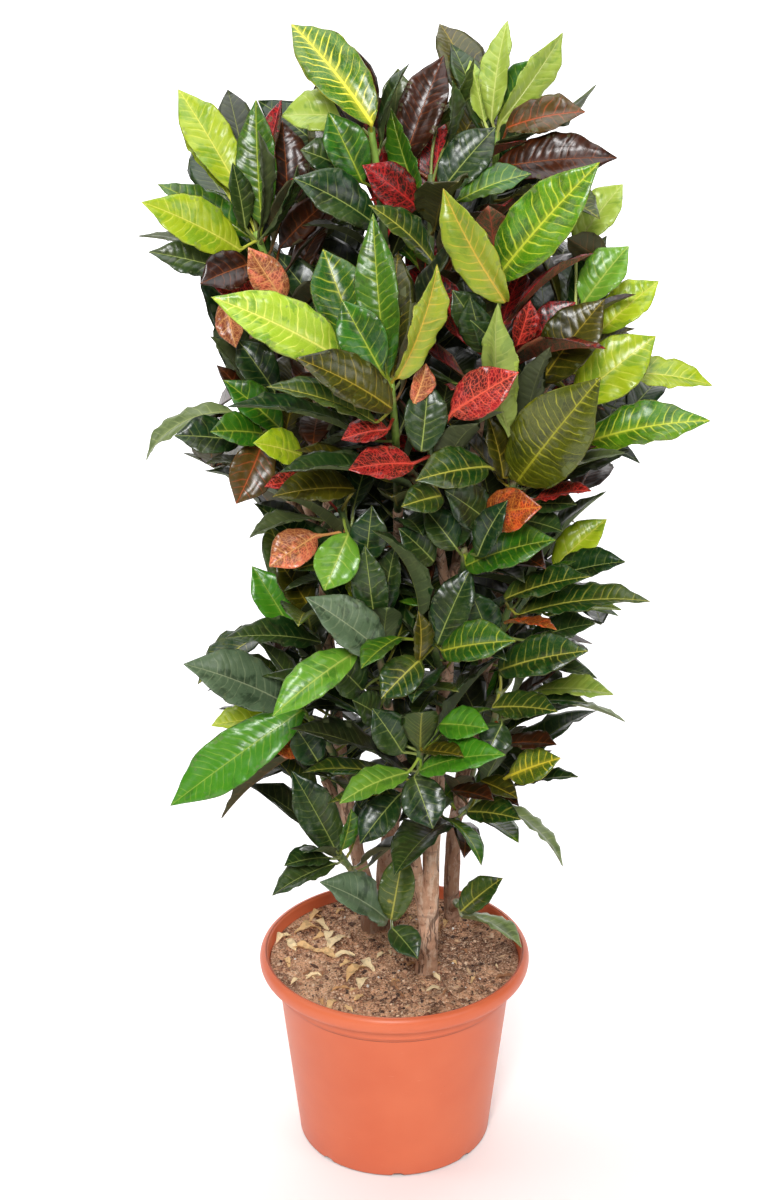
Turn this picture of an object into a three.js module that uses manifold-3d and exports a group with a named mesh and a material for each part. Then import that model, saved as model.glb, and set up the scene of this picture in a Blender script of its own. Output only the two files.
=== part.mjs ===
// Potted croton: a bushy plant with broad veined leaves on woody trunks, in a round plastic pot.
// Millimetres, +Z up. The origin is the centre of the pot's underside and the front faces -Y.
import * as THREE from "three";
import { mergeVertices } from "three/addons/utils/BufferGeometryUtils.js";
import Module from "manifold-3d";

const wasm = await Module();
wasm.setup();

// Driving dimensions
const gap = 0.3; // between pieces that touch
const pot = {
  height: 206,
  rimRadius: 135,
  rimHeight: 17,
  mouthRadius: 126.5,
  collarRadius: 122.5,
  collarHeight: 13,
  wallRadius: 116.5,
  baseRadius: 97.5,
  wall: 3,
  floor: 4,
  sides: 28,
};
const notch = { count: 8, width: 9, height: 3, depth: 9, turn: -43 };
const soil = { level: 194, relief: 2.2, rings: [1, 0.66, 0.33] };
const litter = { count: 9, length: 17, width: 7, thickness: 5, sink: 3.6, reach: 112, fromTrunk: 27 };
const bark = { buried: 70, collar: 7, sides: 6, holeSides: 14 };
const stem = { thick: 5.2, thin: 3.6, sides: 4 };
const leafThickness = 2.2; // at the midrib, thinning to the edge
const petiole = { radius: 1.4, slide: 4, slides: 4, offJoint: 5 };
const blade = { heel: 0.55, tip: 0.2, fold: 13, foldSpread: 9, wave: 0.022, waves: 1.5, leastBend: 0.05 };
const heroStations = [0.2, 0.5, 0.8]; // cross-sections along a blade
const fillerStations = [0.3, 0.7];
const shortLeaf = 75; // millimetres, below which a leaf has the filler's cross-sections
const clear = { lift: 1.9, round: 1.5, stem: 1.25 }; // kept free over, round and by the stems
const seedStep = 131;

// Where a point of the picture stands. Across and down are pixels of the 778 x 1200 picture, and
// near is how many millimetres the point stands in front of the pot's axis.
const view = { back: 1880, height: 1350, tilt: 0.38816, focal: 2166, acrossMid: 394.4, downMid: 600 };

function seen([across, down, near]) {
  const away = view.back - near;
  const climb = Math.atan((view.downMid - down) / view.focal) - view.tilt;
  const rise = away * Math.tan(climb);
  const depth = away * Math.cos(view.tilt) - rise * Math.sin(view.tilt);
  return [((across - view.acrossMid) / view.focal) * depth, -near, view.height + rise];
}

const eye = [0, -view.back, view.height];

function pictured(point) {
  const away = point[1] + view.back;
  const rise = point[2] - view.height;
  const depth = away * Math.cos(view.tilt) - rise * Math.sin(view.tilt);
  const up = away * Math.sin(view.tilt) + rise * Math.cos(view.tilt);
  return [view.acrossMid + (view.focal * point[0]) / depth, view.downMid - (view.focal * up) / depth];
}

// Small vector and number helpers
const add = (a, b) => [a[0] + b[0], a[1] + b[1], a[2] + b[2]];
const minus = (a, b) => [a[0] - b[0], a[1] - b[1], a[2] - b[2]];
const times = (a, k) => [a[0] * k, a[1] * k, a[2] * k];
const dot = (a, b) => a[0] * b[0] + a[1] * b[1] + a[2] * b[2];
const cross = (a, b) => [
  a[1] * b[2] - a[2] * b[1],
  a[2] * b[0] - a[0] * b[2],
  a[0] * b[1] - a[1] * b[0],
];
const size = (a) => Math.sqrt(dot(a, a));
const unit = (a) => times(a, 1 / size(a));
const blend = (a, b, t) => add(times(a, 1 - t), times(b, t));
const radians = (degrees) => (degrees * Math.PI) / 180;

// A seeded draw of numbers between 0 and 1
function dice(seed) {
  let state = (seed * 7919 + 12345) >>> 0;
  return () => {
    state = (Math.imul(state, 1664525) + 1013904223) >>> 0;
    return state / 4294967296;
  };
}

// The trunks, each from its foot in the soil upwards: [across, down, near] and the end radii
const trunks = {
  trunk_front: { path: [[427, 975, 25], [430, 900, 30], [433, 825, 32], [443, 720, 28], [447, 655, 42],
    [456, 566, 52]], radius: [9.5, 5.5] },
  trunk_left: { path: [[370, 925, -55], [368, 892, -52], [356, 850, -42], [345, 790, -30], [335, 700, -20],
    [325, 600, -10], [330, 470, 0]], radius: [8.5, 5] },
  trunk_middle: { path: [[386, 930, -62], [386, 860, -60], [395, 800, -56], [402, 700, -48], [397, 560, -40],
    [385, 420, -22]], radius: [9.5, 5.5] },
  trunk_right: { path: [[452, 925, -70], [452, 870, -68], [456, 815, -64], [474, 720, -45], [484, 665, -36],
    [500, 560, -30], [515, 440, -15]], radius: [8, 5] },
};

// Woody branches that carry no leaves of their own: the cut stub low on the front trunk
const stubs = [
  { trunk: "trunk_front", path: [[428, 922, 28], [419, 886, 34], [413, 856, 38]], radius: [8.2, 6.8] },
];

// Each shoot: its way out from a trunk, the point where its bark ends (green), the point where its
// young tip starts (young, if it has one), and its leaves as the picture shows them. A leaf has its
// colour, the foot and the tip of its blade as [across, down, near], its width in millimetres, its
// roll from facing the viewer, and its bend from foot to tip, both in degrees.
const shoots = [
  { name: "top_left", trunk: "trunk_left", young: 3, green: 2, fillers: 3,
    path: [[330, 470, 0], [318, 400, 2], [300, 340, 8], [276, 285, 16], [256, 232, 24]], leaves: [
      ["lime", [240, 250, 45], [141, 202, 85], 46, 25, 30],
      ["green", [262, 225, 30], [256, 99, 5], 37, -15, 20],
      ["lime", [240, 192, 12], [178, 89, -35], 42, 15, 20],
      ["lime", [226, 190, -5], [182, 112, -55], 34, 30, 15],
      ["green", [250, 238, 10], [157, 184, -15], 38, 40, 20],
      ["grey", [262, 225, 50], [258, 130, 40], 34, 68, 15],
      ["dark", [245, 228, 38], [232, 162, 38], 24, 30, 15],
      ["grey", [236, 262, 25], [137, 236, 30], 36, 80, 25],
      ["dark", [240, 274, 50], [148, 252, 60], 34, 30, 20],
      ["maroon", [250, 264, 62], [200, 284, 90], 38, 20, 25],
      ["maroon", [288, 205, 5], [282, 120, -15], 42, 10, 20],
      ["salmon", [284, 302, 75], [248, 247, 88], 32, 0, 30],
      ["red", [262, 302, 50], [213, 286, 70], 28, 20, 20],
      ["salmon", [226, 300, 55], [236, 348, 75], 26, 10, 30],
      ["dark", [264, 236, 55], [298, 165, 62], 30, 75, 20]] },
  { name: "top_middle_left", trunk: "trunk_middle", young: 4, green: 3, fillers: 3,
    path: [[385, 420, -22], [383, 360, -12], [386, 300, 2], [385, 245, 22], [378, 180, 32], [371, 128, 36]],
    leaves: [
      ["darkvein", [372, 124, 52], [291, 24, 0], 52, 22, 30],
      ["lime", [352, 118, 10], [281, 116, 5], 46, 35, 25],
      ["lime", [366, 110, 5], [334, 68, -25], 40, 5, 20],
      ["green", [362, 182, 55], [328, 112, 48], 40, 10, 25],
      ["dark", [374, 224, 78], [292, 178, 100], 46, 30, 35],
      ["grey", [392, 132, -5], [398, 68, -20], 32, 20, 15],
      ["dark", [338, 165, 35], [300, 150, 40], 34, 30, 20]] },
  { name: "top_middle", trunk: "trunk_middle", green: 2, fillers: 3,
    path: [[392, 500, -34], [410, 400, -22], [426, 300, 10], [431, 235, 18], [431, 175, 8]], leaves: [
      ["maroon", [404, 162, 0], [444, 55, -35], 46, -12, 20],
      ["dark", [436, 128, -10], [474, 58, -20], 36, 72, 20],
      ["dark", [447, 142, 10], [452, 80, 0], 30, 60, 20],
      ["green", [421, 204, 45], [391, 108, 25], 34, -45, 15],
      ["crimson", [418, 208, 45], [362, 165, 62], 38, 20, 25],
      ["dark", [442, 190, 40], [496, 127, 28], 42, -20, 20],
      ["green", [460, 200, 55], [532, 174, 62], 38, -50, 25],
      ["darkvein", [434, 264, 85], [368, 205, 108], 36, 48, 30]] },
  { name: "top_right", trunk: "trunk_right", young: 4, green: 3, fillers: 3,
    path: [[515, 440, -15], [510, 370, -20], [498, 310, -20], [490, 255, -14], [494, 190, -16],
      [497, 132, -22]], leaves: [
      ["lime", [492, 122, -20], [508, 20, -60], 30, -30, 25],
      ["lime", [484, 122, -25], [470, 60, -40], 30, 20, 15],
      ["lime", [500, 122, -15], [563, 32, -35], 33, 30, 20],
      ["darkvein", [507, 128, 5], [586, 112, 30], 40, -38, 30],
      ["grey", [500, 142, 0], [597, 84, 10], 34, 78, 25],
      ["maroon", [496, 168, 18], [618, 158, 34], 46, -28, 25],
      ["green", [500, 112, -40], [537, 60, -70], 34, 0, 20]] },
  { name: "upper_right", trunk: "trunk_front", young: 3, green: 2, fillers: 3,
    path: [[456, 566, 52], [470, 480, 58], [480, 420, 78], [492, 350, 102], [500, 285, 112]], leaves: [
      ["hero", [497, 278, 130], [600, 162, 158], 54, -14, 30],
      ["limeorange", [507, 303, 150], [443, 188, 140], 42, -25, 30],
      ["red", [517, 345, 112], [530, 300, 110], 26, 30, 20],
      ["crimson", [458, 336, 98], [431, 270, 92], 30, 30, 25],
      ["dark", [478, 330, 110], [452, 290, 118], 34, 15, 20],
      ["dark", [486, 352, 112], [470, 296, 122], 34, -20, 20],
      ["dark", [505, 355, 105], [470, 320, 130], 32, 30, 20]] },
  { name: "right", trunk: "trunk_right", young: 3, green: 2, fillers: 3,
    path: [[515, 440, -15], [526, 420, 12], [545, 385, 48], [562, 352, 62], [577, 315, 64]], leaves: [
      ["limepale", [576, 245, 40], [623, 184, 18], 38, -20, 20],
      ["lime", [584, 303, 72], [629, 246, 62], 42, -25, 20],
      ["lime", [600, 332, 62], [659, 281, 50], 40, -25, 20],
      ["olive", [541, 382, 108], [605, 299, 104], 50, -18, 25],
      ["crimson", [533, 340, 80], [576, 302, 78], 32, -20, 20],
      ["lime", [576, 400, 88], [656, 336, 84], 52, -10, 25],
      ["lime", [612, 374, 50], [713, 386, 58], 40, -48, 30],
      ["maroon", [606, 262, 60], [567, 238, 76], 32, 150, 15]] },
  { name: "middle_right", trunk: "trunk_front", green: 2, fillers: 3,
    path: [[456, 566, 52], [482, 540, 66], [502, 520, 88], [512, 490, 104], [520, 458, 114]], leaves: [
      ["olive", [517, 482, 118], [601, 377, 186], 68, -6, 30],
      ["limehero", [577, 446, 78], [711, 421, 96], 46, -34, 35],
      ["grey", [530, 487, 118], [626, 453, 138], 40, -70, 25],
      ["red", [535, 500, 124], [592, 491, 148], 30, -62, 20],
      ["orange", [487, 514, 135], [542, 507, 168], 40, -8, 30],
      ["olive", [503, 478, 128], [487, 415, 130], 34, 48, 20],
      ["limepale", [509, 430, 138], [498, 303, 165], 36, 150, -45],
      ["darkvein", [487, 467, 145], [415, 481, 184], 42, 25, 30],
      ["dark", [489, 522, 128], [444, 490, 152], 40, 15, 25],
      ["dark", [530, 505, 105], [577, 505, 125], 30, -40, 20],
      ["dark", [522, 520, 102], [563, 532, 128], 30, -40, 20]] },
  { name: "middle_left", trunk: "trunk_middle", young: 3, green: 2, fillers: 3,
    path: [[397, 560, -40], [398, 540, 20], [398, 510, 78], [396, 445, 128], [391, 380, 158]], leaves: [
      ["hero", [342, 360, 182], [211, 297, 205], 50, 20, 35],
      ["greenvein", [356, 342, 160], [323, 249, 140], 50, 5, 30],
      ["green", [380, 369, 192], [342, 300, 182], 42, 0, 20],
      ["green", [387, 375, 170], [373, 213, 140], 38, -12, 25],
      ["limeorange", [397, 378, 180], [437, 264, 168], 38, 45, 30],
      ["olive", [392, 409, 195], [295, 358, 222], 46, 30, 30],
      ["darkvein", [376, 424, 180], [266, 387, 205], 40, 55, 30],
      ["red", [388, 430, 180], [341, 440, 205], 30, 35, 25]] },
  { name: "middle", trunk: "trunk_front", green: 2, fillers: 3,
    path: [[450, 600, 47], [444, 575, 66], [438, 545, 90], [434, 490, 122], [430, 440, 142]], leaves: [
      ["redhero", [452, 413, 165], [519, 372, 188], 40, -15, 25],
      ["dark", [421, 452, 165], [428, 380, 150], 38, 10, 25],
      ["salmon", [414, 402, 158], [426, 363, 150], 26, 40, 30],
      ["red", [412, 464, 170], [348, 470, 200], 34, 30, 30],
      ["darkvein", [441, 496, 158], [401, 507, 186], 30, 20, 25],
      ["dark", [434, 562, 108], [398, 528, 120], 34, 20, 25],
      ["dark", [446, 545, 112], [470, 505, 116], 34, -15, 25]] },
  { name: "left", trunk: "trunk_left", young: 3, green: 2, fillers: 4,
    path: [[325, 600, -10], [322, 550, 8], [305, 500, 34], [285, 460, 46], [268, 422, 50]], leaves: [
      ["dark", [240, 441, 60], [174, 436, 78], 38, 25, 25],
      ["grey", [233, 413, 52], [146, 461, 66], 34, 62, 80],
      ["green", [263, 434, 80], [210, 432, 112], 36, 30, 25],
      ["lime", [302, 456, 92], [253, 443, 125], 36, 30, 25],
      ["green", [281, 430, 72], [223, 380, 72], 36, 25, 20],
      ["dark", [275, 392, 60], [237, 339, 48], 36, 10, 20],
      ["grey", [243, 380, 35], [210, 336, 20], 30, 62, 20],
      ["olivered", [263, 442, 84], [236, 504, 112], 42, -10, 30]] },
  { name: "middle_left_lower", trunk: "trunk_middle", green: 2, fillers: 3,
    path: [[399, 620, -44], [385, 600, 10], [366, 570, 62], [352, 540, 86], [340, 508, 94]], leaves: [
      ["olive", [355, 489, 118], [272, 497, 152], 38, 38, 30],
      ["red", [315, 482, 98], [264, 487, 118], 26, 45, 20],
      ["grey", [310, 518, 98], [249, 538, 122], 34, 66, 25],
      ["orange", [316, 536, 112], [269, 567, 136], 38, 15, 25],
      ["lime", [348, 535, 128], [324, 591, 152], 42, 0, 25],
      ["dark", [366, 560, 115], [372, 505, 118], 36, 0, 20]] },
  { name: "lower_left", trunk: "trunk_middle", green: 2, fillers: 3,
    path: [[400, 760, -52], [392, 735, 20], [388, 705, 74], [382, 670, 98], [374, 630, 110]], leaves: [
      ["dark", [381, 652, 132], [305, 597, 165], 48, 20, 30],
      ["greenbright", [356, 652, 140], [272, 717, 182], 40, 20, 35],
      ["dark", [375, 622, 118], [365, 545, 115], 36, 0, 25],
      ["dark", [384, 614, 110], [396, 545, 106], 32, -30, 20],
      ["lime", [358, 614, 106], [341, 570, 106], 28, 65, 20],
      ["dark", [362, 690, 118], [330, 660, 140], 40, 20, 20],
      ["dark", [378, 715, 112], [352, 700, 140], 34, 20, 20]] },
  { name: "left_low", trunk: "trunk_left", green: 2, fillers: 3,
    path: [[338, 730, -23], [334, 700, 10], [326, 672, 36], [318, 645, 50], [310, 618, 54]], leaves: [
      ["dark", [322, 643, 70], [224, 639, 92], 42, 52, 30],
      ["olive", [311, 610, 68], [275, 557, 64], 34, 20, 20],
      ["lime", [290, 628, 48], [252, 566, 36], 36, 10, 20]] },
  { name: "left_bottom", trunk: "trunk_left", young: 3, green: 2, fillers: 3,
    path: [[344, 790, -30], [342, 775, 10], [334, 755, 44], [322, 735, 62], [310, 718, 70]], leaves: [
      ["darkvein", [284, 703, 84], [183, 664, 128], 56, 26, 30],
      ["green", [304, 709, 98], [170, 806, 142], 56, 14, 35],
      ["lime", [271, 721, 58], [211, 726, 72], 38, 50, 25],
      ["maroon", [297, 752, 70], [221, 819, 98], 42, 100, 25],
      ["orange", [300, 748, 80], [272, 750, 96], 26, 20, 20],
      ["dark", [318, 762, 82], [292, 722, 96], 36, 10, 20]] },
  { name: "low_left", trunk: "trunk_left", green: 1, fillers: 2,
    path: [[366, 884, -50], [358, 876, 0], [350, 868, 34], [339, 852, 56]], leaves: [
      ["dark", [337, 853, 68], [291, 770, 60], 42, 10, 25],
      ["green", [341, 850, 74], [351, 808, 76], 26, 50, 20],
      ["dark", [328, 858, 76], [284, 866, 106], 32, 45, 25],
      ["dark", [335, 864, 78], [272, 896, 112], 36, 45, 30]] },
  { name: "sucker_left", trunk: "trunk_middle", green: 1, fillers: 0,
    path: [[386, 915, -62], [388, 912, -10], [390, 916, 40], [391, 914, 70]], leaves: [
      ["grey", [387, 920, 90], [319, 882, 130], 48, 38, 30],
      ["greenbright", [391, 920, 92], [404, 849, 84], 36, 0, 25],
      ["dark", [392, 928, 96], [418, 959, 124], 32, -20, 25]] },
  { name: "sucker_right", trunk: "trunk_right", green: 1, fillers: 1,
    path: [[452, 908, -70], [456, 902, -40], [458, 905, -5], [459, 905, 20]], leaves: [
      ["darkvein", [461, 912, 34], [503, 878, 38], 34, -28, 20],
      ["limepale", [462, 917, 36], [522, 948, 84], 34, -66, 40]] },
  { name: "low_middle", trunk: "trunk_front", green: 2, fillers: 3,
    path: [[434, 810, 32], [429, 800, 60], [424, 786, 88], [420, 764, 112], [420, 742, 124]], leaves: [
      ["lime", [408, 773, 140], [339, 804, 172], 36, 42, 35],
      ["greenbright", [420, 771, 140], [506, 755, 178], 40, -40, 35],
      ["greenbright", [440, 724, 134], [489, 729, 160], 36, -28, 20],
      ["dark", [414, 777, 142], [433, 829, 172], 42, -5, 25],
      ["olive", [422, 752, 138], [464, 757, 164], 28, -60, 20],
      ["dark", [398, 796, 118], [360, 844, 144], 36, 18, 25],
      ["dark", [402, 752, 128], [372, 708, 138], 38, 12, 20]] },
  { name: "centre_low", trunk: "trunk_front", green: 1, fillers: 3,
    path: [[446, 680, 36], [440, 668, 74], [436, 655, 104], [433, 632, 120]], leaves: [
      ["dark", [437, 645, 134], [472, 566, 122], 38, -12, 25],
      ["green", [399, 638, 130], [361, 669, 158], 34, 52, 30],
      ["darkvein", [420, 660, 138], [381, 699, 166], 38, 14, 25],
      ["dark", [442, 651, 138], [516, 641, 172], 44, -28, 25],
      ["olive", [419, 660, 132], [418, 611, 130], 28, 50, 20]] },
  { name: "centre_right", trunk: "trunk_front", green: 1, fillers: 3,
    path: [[456, 566, 52], [462, 572, 76], [464, 566, 100], [464, 548, 112]], leaves: [
      ["green", [466, 566, 128], [556, 540, 164], 48, -34, 30],
      ["dark", [478, 556, 118], [508, 500, 120], 38, -14, 20],
      ["dark", [456, 548, 122], [424, 508, 136], 36, 20, 20]] },
  { name: "right_low", trunk: "trunk_right", green: 2, fillers: 3,
    path: [[482, 675, -38], [486, 665, 10], [494, 650, 54], [502, 630, 86], [510, 604, 104]], leaves: [
      ["darkvein", [518, 616, 116], [651, 602, 140], 42, -52, 35],
      ["olive", [504, 600, 120], [591, 577, 148], 36, -48, 25],
      ["dark", [530, 641, 94], [596, 624, 112], 36, -45, 25],
      ["orange", [505, 622, 124], [557, 630, 148], 26, -60, 20],
      ["dark", [490, 640, 110], [470, 590, 118], 36, 10, 20]] },
  { name: "right_edge", trunk: "trunk_right", young: 3, green: 2, fillers: 3,
    path: [[496, 590, -32], [508, 610, 0], [524, 612, 30], [538, 596, 50], [548, 572, 58]], leaves: [
      ["lime", [554, 568, 60], [607, 519, 50], 36, -20, 20],
      ["olive", [552, 578, 74], [626, 562, 92], 38, -42, 25],
      ["limepale", [548, 616, 74], [622, 610, 90], 34, -68, 25]] },
  { name: "right_bottom", trunk: "trunk_right", green: 2, fillers: 3,
    path: [[466, 760, -52], [476, 750, 0], [488, 735, 54], [496, 714, 88], [500, 690, 106]], leaves: [
      ["darkvein", [499, 671, 126], [589, 651, 164], 44, -28, 30],
      ["limepale", [538, 690, 80], [614, 695, 104], 36, -56, 25],
      ["dark", [532, 702, 92], [589, 704, 116], 32, -60, 20],
      ["grey", [542, 702, 70], [626, 722, 92], 30, -80, 30],
      ["darkvein", [492, 708, 128], [558, 712, 160], 36, -42, 25],
      ["maroon", [506, 744, 108], [557, 745, 136], 30, -55, 20],
      ["dark", [502, 724, 132], [488, 752, 146], 32, 0, 20]] },
  { name: "low_right", trunk: "trunk_right", green: 1, fillers: 3,
    path: [[456, 815, -64], [462, 812, -10], [470, 806, 40], [480, 788, 76]], leaves: [
      ["yellowvein", [510, 776, 112], [561, 758, 136], 34, -20, 20],
      ["dark", [512, 786, 92], [579, 777, 116], 30, -64, 20],
      ["darkvein", [468, 812, 86], [521, 820, 116], 36, -42, 25],
      ["grey", [497, 806, 84], [563, 867, 110], 32, -68, 50],
      ["maroon", [452, 790, 104], [494, 801, 134], 30, -55, 20],
      ["olive", [480, 781, 98], [518, 799, 122], 28, -42, 20]] },
];

// The shoots of the back and the sides: where each leaves its trunk (a share of the trunk's
// length), its turn round the pot's axis in degrees from +X, and its crown's reach and height
const backShoots = [
  { name: "back_low_right", trunk: "trunk_right", from: 0.3, turn: 40, reach: 118, height: 425, leaves: 7 },
  { name: "back_low_middle", trunk: "trunk_middle", from: 0.3, turn: 95, reach: 125, height: 440, leaves: 7 },
  { name: "back_low_left", trunk: "trunk_left", from: 0.33, turn: 150, reach: 118, height: 470, leaves: 7 },
  { name: "back_mid_right", trunk: "trunk_right", from: 0.55, turn: 28, reach: 135, height: 590, leaves: 7 },
  { name: "back_mid_middle", trunk: "trunk_middle", from: 0.52, turn: 78,
    reach: 150, height: 620, leaves: 8 },
  { name: "back_mid_left", trunk: "trunk_left", from: 0.58, turn: 135, reach: 140, height: 640, leaves: 8 },
  { name: "back_upper_right", trunk: "trunk_right", from: 0.8, turn: 50, reach: 150, height: 790, leaves: 8 },
  { name: "back_upper_middle", trunk: "trunk_middle", from: 0.78, turn: 105,
    reach: 155, height: 800, leaves: 8 },
  { name: "back_upper_left", trunk: "trunk_left", from: 0.85, turn: 160, reach: 150, height: 780, leaves: 7 },
  { name: "back_top_right", trunk: "trunk_right", from: 0.97, turn: 68, reach: 120, height: 930, leaves: 8 },
  { name: "back_top_left", trunk: "trunk_middle", from: 0.95, turn: 125, reach: 125, height: 940, leaves: 8 },
];

// How wide the bush is at each height of the picture: [down, left, right]
const bushOutline = [[20, 290, 510], [60, 215, 565], [110, 180, 585], [165, 160, 615], [215, 142, 610],
  [255, 155, 628], [300, 205, 655], [350, 212, 690], [400, 190, 705], [450, 160, 690], [500, 240, 600],
  [560, 262, 608], [600, 250, 640], [650, 195, 610], [700, 195, 610], [760, 205, 560], [800, 245, 540],
  [850, 290, 530], [900, 300, 500]];
const bushDepth = [[250, 95], [400, 190], [600, 225], [800, 255], [1000, 235], [1120, 150]]; // height, reach

function lookUp(rows, at, column) {
  if (at <= rows[0][0]) {
    return rows[0][column];
  }
  for (let i = 1; i < rows.length; i += 1) {
    if (at <= rows[i][0]) {
      const share = (at - rows[i - 1][0]) / (rows[i][0] - rows[i - 1][0]);
      return rows[i - 1][column] + share * (rows[i][column] - rows[i - 1][column]);
    }
  }
  return rows[rows.length - 1][column];
}

// The point of a line nearest to a place, and how far along the line it lies
function nearest(line, place) {
  let best = { distance: Infinity, along: 0 };
  let along = 0;
  for (let i = 1; i < line.length; i += 1) {
    const span = minus(line[i], line[i - 1]);
    const length = size(span);
    const share = Math.min(1, Math.max(0, dot(minus(place, line[i - 1]), span) / (length * length)));
    const distance = size(minus(place, blend(line[i - 1], line[i], share)));
    if (distance < best.distance) {
      best = { distance, along: along + share * length };
    }
    along += length;
  }
  return best;
}

const lineLength = (line) => line.slice(1).reduce((sum, p, i) => sum + size(minus(p, line[i])), 0);

function pointAlong(line, along) {
  let left = along;
  for (let i = 1; i < line.length; i += 1) {
    const length = size(minus(line[i], line[i - 1]));
    if (left <= length || i === line.length - 1) {
      return blend(line[i - 1], line[i], left / length);
    }
    left -= length;
  }
  return line[0];
}

// Closed solids: from rings of points joined in order, with a flat cap or a point at each end
function solidOf(points, faces) {
  const geometry = new THREE.BufferGeometry();
  geometry.setAttribute("position", new THREE.Float32BufferAttribute(points.flat(), 3));
  geometry.setIndex(faces.flat());
  return toManifold(geometry);
}

function toManifold(geometry) {
  const plain = geometry.clone();
  plain.deleteAttribute("normal");
  plain.deleteAttribute("uv");
  const merged = mergeVertices(plain, 1e-4);
  const vertProperties = new Float32Array(merged.attributes.position.array);
  const triVerts = new Uint32Array(merged.index.array);
  return new wasm.Manifold(new wasm.Mesh({ numProp: 3, vertProperties, triVerts }));
}

function toGeometry(manifold) {
  const mesh = manifold.getMesh();
  const geometry = new THREE.BufferGeometry();
  geometry.setAttribute("position", new THREE.BufferAttribute(new Float32Array(mesh.vertProperties), 3));
  geometry.setIndex(new THREE.BufferAttribute(new Uint32Array(mesh.triVerts), 1));
  geometry.computeVertexNormals();
  return geometry;
}

function fuse(solids) {
  let all = solids[0];
  for (const solid of solids.slice(1)) {
    all = all.add(solid);
  }
  return all;
}

// Directions along a line, and a pair of directions across it that turn no more than the line does
function alongFrames(line) {
  const at = (i) => line[Math.min(Math.max(i, 0), line.length - 1)];
  const tangents = line.map((p, i) => unit(minus(at(i + 1), at(i - 1))));
  let across = unit(cross(tangents[0], Math.abs(tangents[0][1]) < 0.9 ? [0, 1, 0] : [1, 0, 0]));
  return tangents.map((tangent) => {
    across = unit(minus(across, times(tangent, dot(across, tangent))));
    return { tangent, across, up: cross(tangent, across) };
  });
}

// A tapered round stem along part of a line, as rings of points
function stemSolid(line, frames, radii, sides, trim) {
  const points = [];
  const faces = [];
  line.forEach((centre, i) => {
    const from = i === 0 ? add(centre, times(frames[i].tangent, trim)) : centre;
    for (let k = 0; k < sides; k += 1) {
      const turn = (2 * Math.PI * k) / sides;
      const reach = add(times(frames[i].across, Math.cos(turn)), times(frames[i].up, Math.sin(turn)));
      points.push(add(from, times(reach, radii[i])));
    }
  });
  for (let i = 0; i < line.length - 1; i += 1) {
    for (let k = 0; k < sides; k += 1) {
      const a = i * sides + k;
      const b = i * sides + ((k + 1) % sides);
      faces.push([a, b, b + sides], [a, b + sides, a + sides]);
    }
  }
  const last = (line.length - 1) * sides;
  for (let k = 1; k < sides - 1; k += 1) {
    faces.push([0, k + 1, k], [last, last + k, last + k + 1]);
  }
  return solidOf(points, faces);
}

// A blade is an arc from foot to tip, folded along the midrib and waved at the edges. Station runs
// from 0 at the foot to 1 at the tip, and side from -1 at one edge to 1 at the other.
const bladeHalfWidth = (leaf, station) =>
  (leaf.width / 2) * Math.sin(Math.PI * station) ** (blade.heel + blade.tip * station);

function bladePoint(leaf, side, station, lift) {
  const half = leaf.bend / 2;
  const turn = (station - 0.5) * leaf.bend;
  const along = leaf.length * (0.5 + Math.sin(turn) / (2 * Math.sin(half)));
  const rise = (leaf.length * (Math.cos(turn) - Math.cos(half))) / (2 * Math.sin(half));
  const reach = Math.abs(side) * (station <= 0 || station >= 1 ? 0 : bladeHalfWidth(leaf, station));
  const wave = side * side * leaf.wave * Math.sin(2 * Math.PI * blade.waves * station + leaf.phase * side);
  const out = reach * Math.sin(leaf.fold) + wave * Math.min(1, 4 * (1 - station)) + lift;
  const normal = add(times(leaf.axis, Math.sin(turn)), times(leaf.face, Math.cos(turn)));
  let point = add(leaf.foot, add(times(leaf.axis, along), times(leaf.face, rise)));
  point = add(point, times(leaf.across, Math.sign(side) * reach * Math.cos(leaf.fold)));
  return add(point, times(normal, station <= 0 ? lift : out));
}

// The direction "from" turned onto "to", applied to another direction square to "from"
function carried(from, to, direction) {
  const sum = add(from, to);
  return minus(direction, times(sum, dot(to, direction) / (1 + dot(from, to))));
}

// A leaf's frame: axis from foot to tip, face the way its upper side looks, across to its right
function makeLeaf(colour, foot, tip, width, towards, roll, bend, draws) {
  const span = minus(tip, foot);
  const axis = unit(span);
  const plainFace = unit(minus(towards, times(axis, dot(towards, axis))));
  const plainAcross = cross(axis, plainFace);
  const face = add(times(plainFace, Math.cos(roll)), times(plainAcross, Math.sin(roll)));
  const length = size(span);
  return {
    colour,
    foot,
    axis,
    face,
    across: cross(axis, face),
    length,
    width,
    bend: Math.abs(bend) < blade.leastBend ? blade.leastBend : bend,
    fold: radians(blade.fold + blade.foldSpread * draws[0]),
    wave: blade.wave * length * (0.5 + draws[1]),
    phase: 2 * Math.PI * draws[2],
  };
}

// The petiole goes from a point of the stem a little below the blade to the blade's foot, and keeps
// off the joint between the older stem and its young tip
function seatLeaf(leaf, shoot, index) {
  const slide = petiole.slide * (1 + (index % petiole.slides));
  const place = nearest(shoot.leafy, leaf.foot).along - slide;
  const kept = Math.max(petiole.slide, Math.min(shoot.leafyLength - petiole.slide, place));
  leaf.onYoung = kept > shoot.youngFrom;
  const offJoint = leaf.onYoung ? Math.max(kept, shoot.youngFrom + petiole.offJoint)
    : Math.min(kept, shoot.youngFrom - 2 * petiole.offJoint);
  leaf.root = pointAlong(shoot.leafy, offJoint);
  leaf.shoot = shoot.name;
  return leaf;
}

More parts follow.
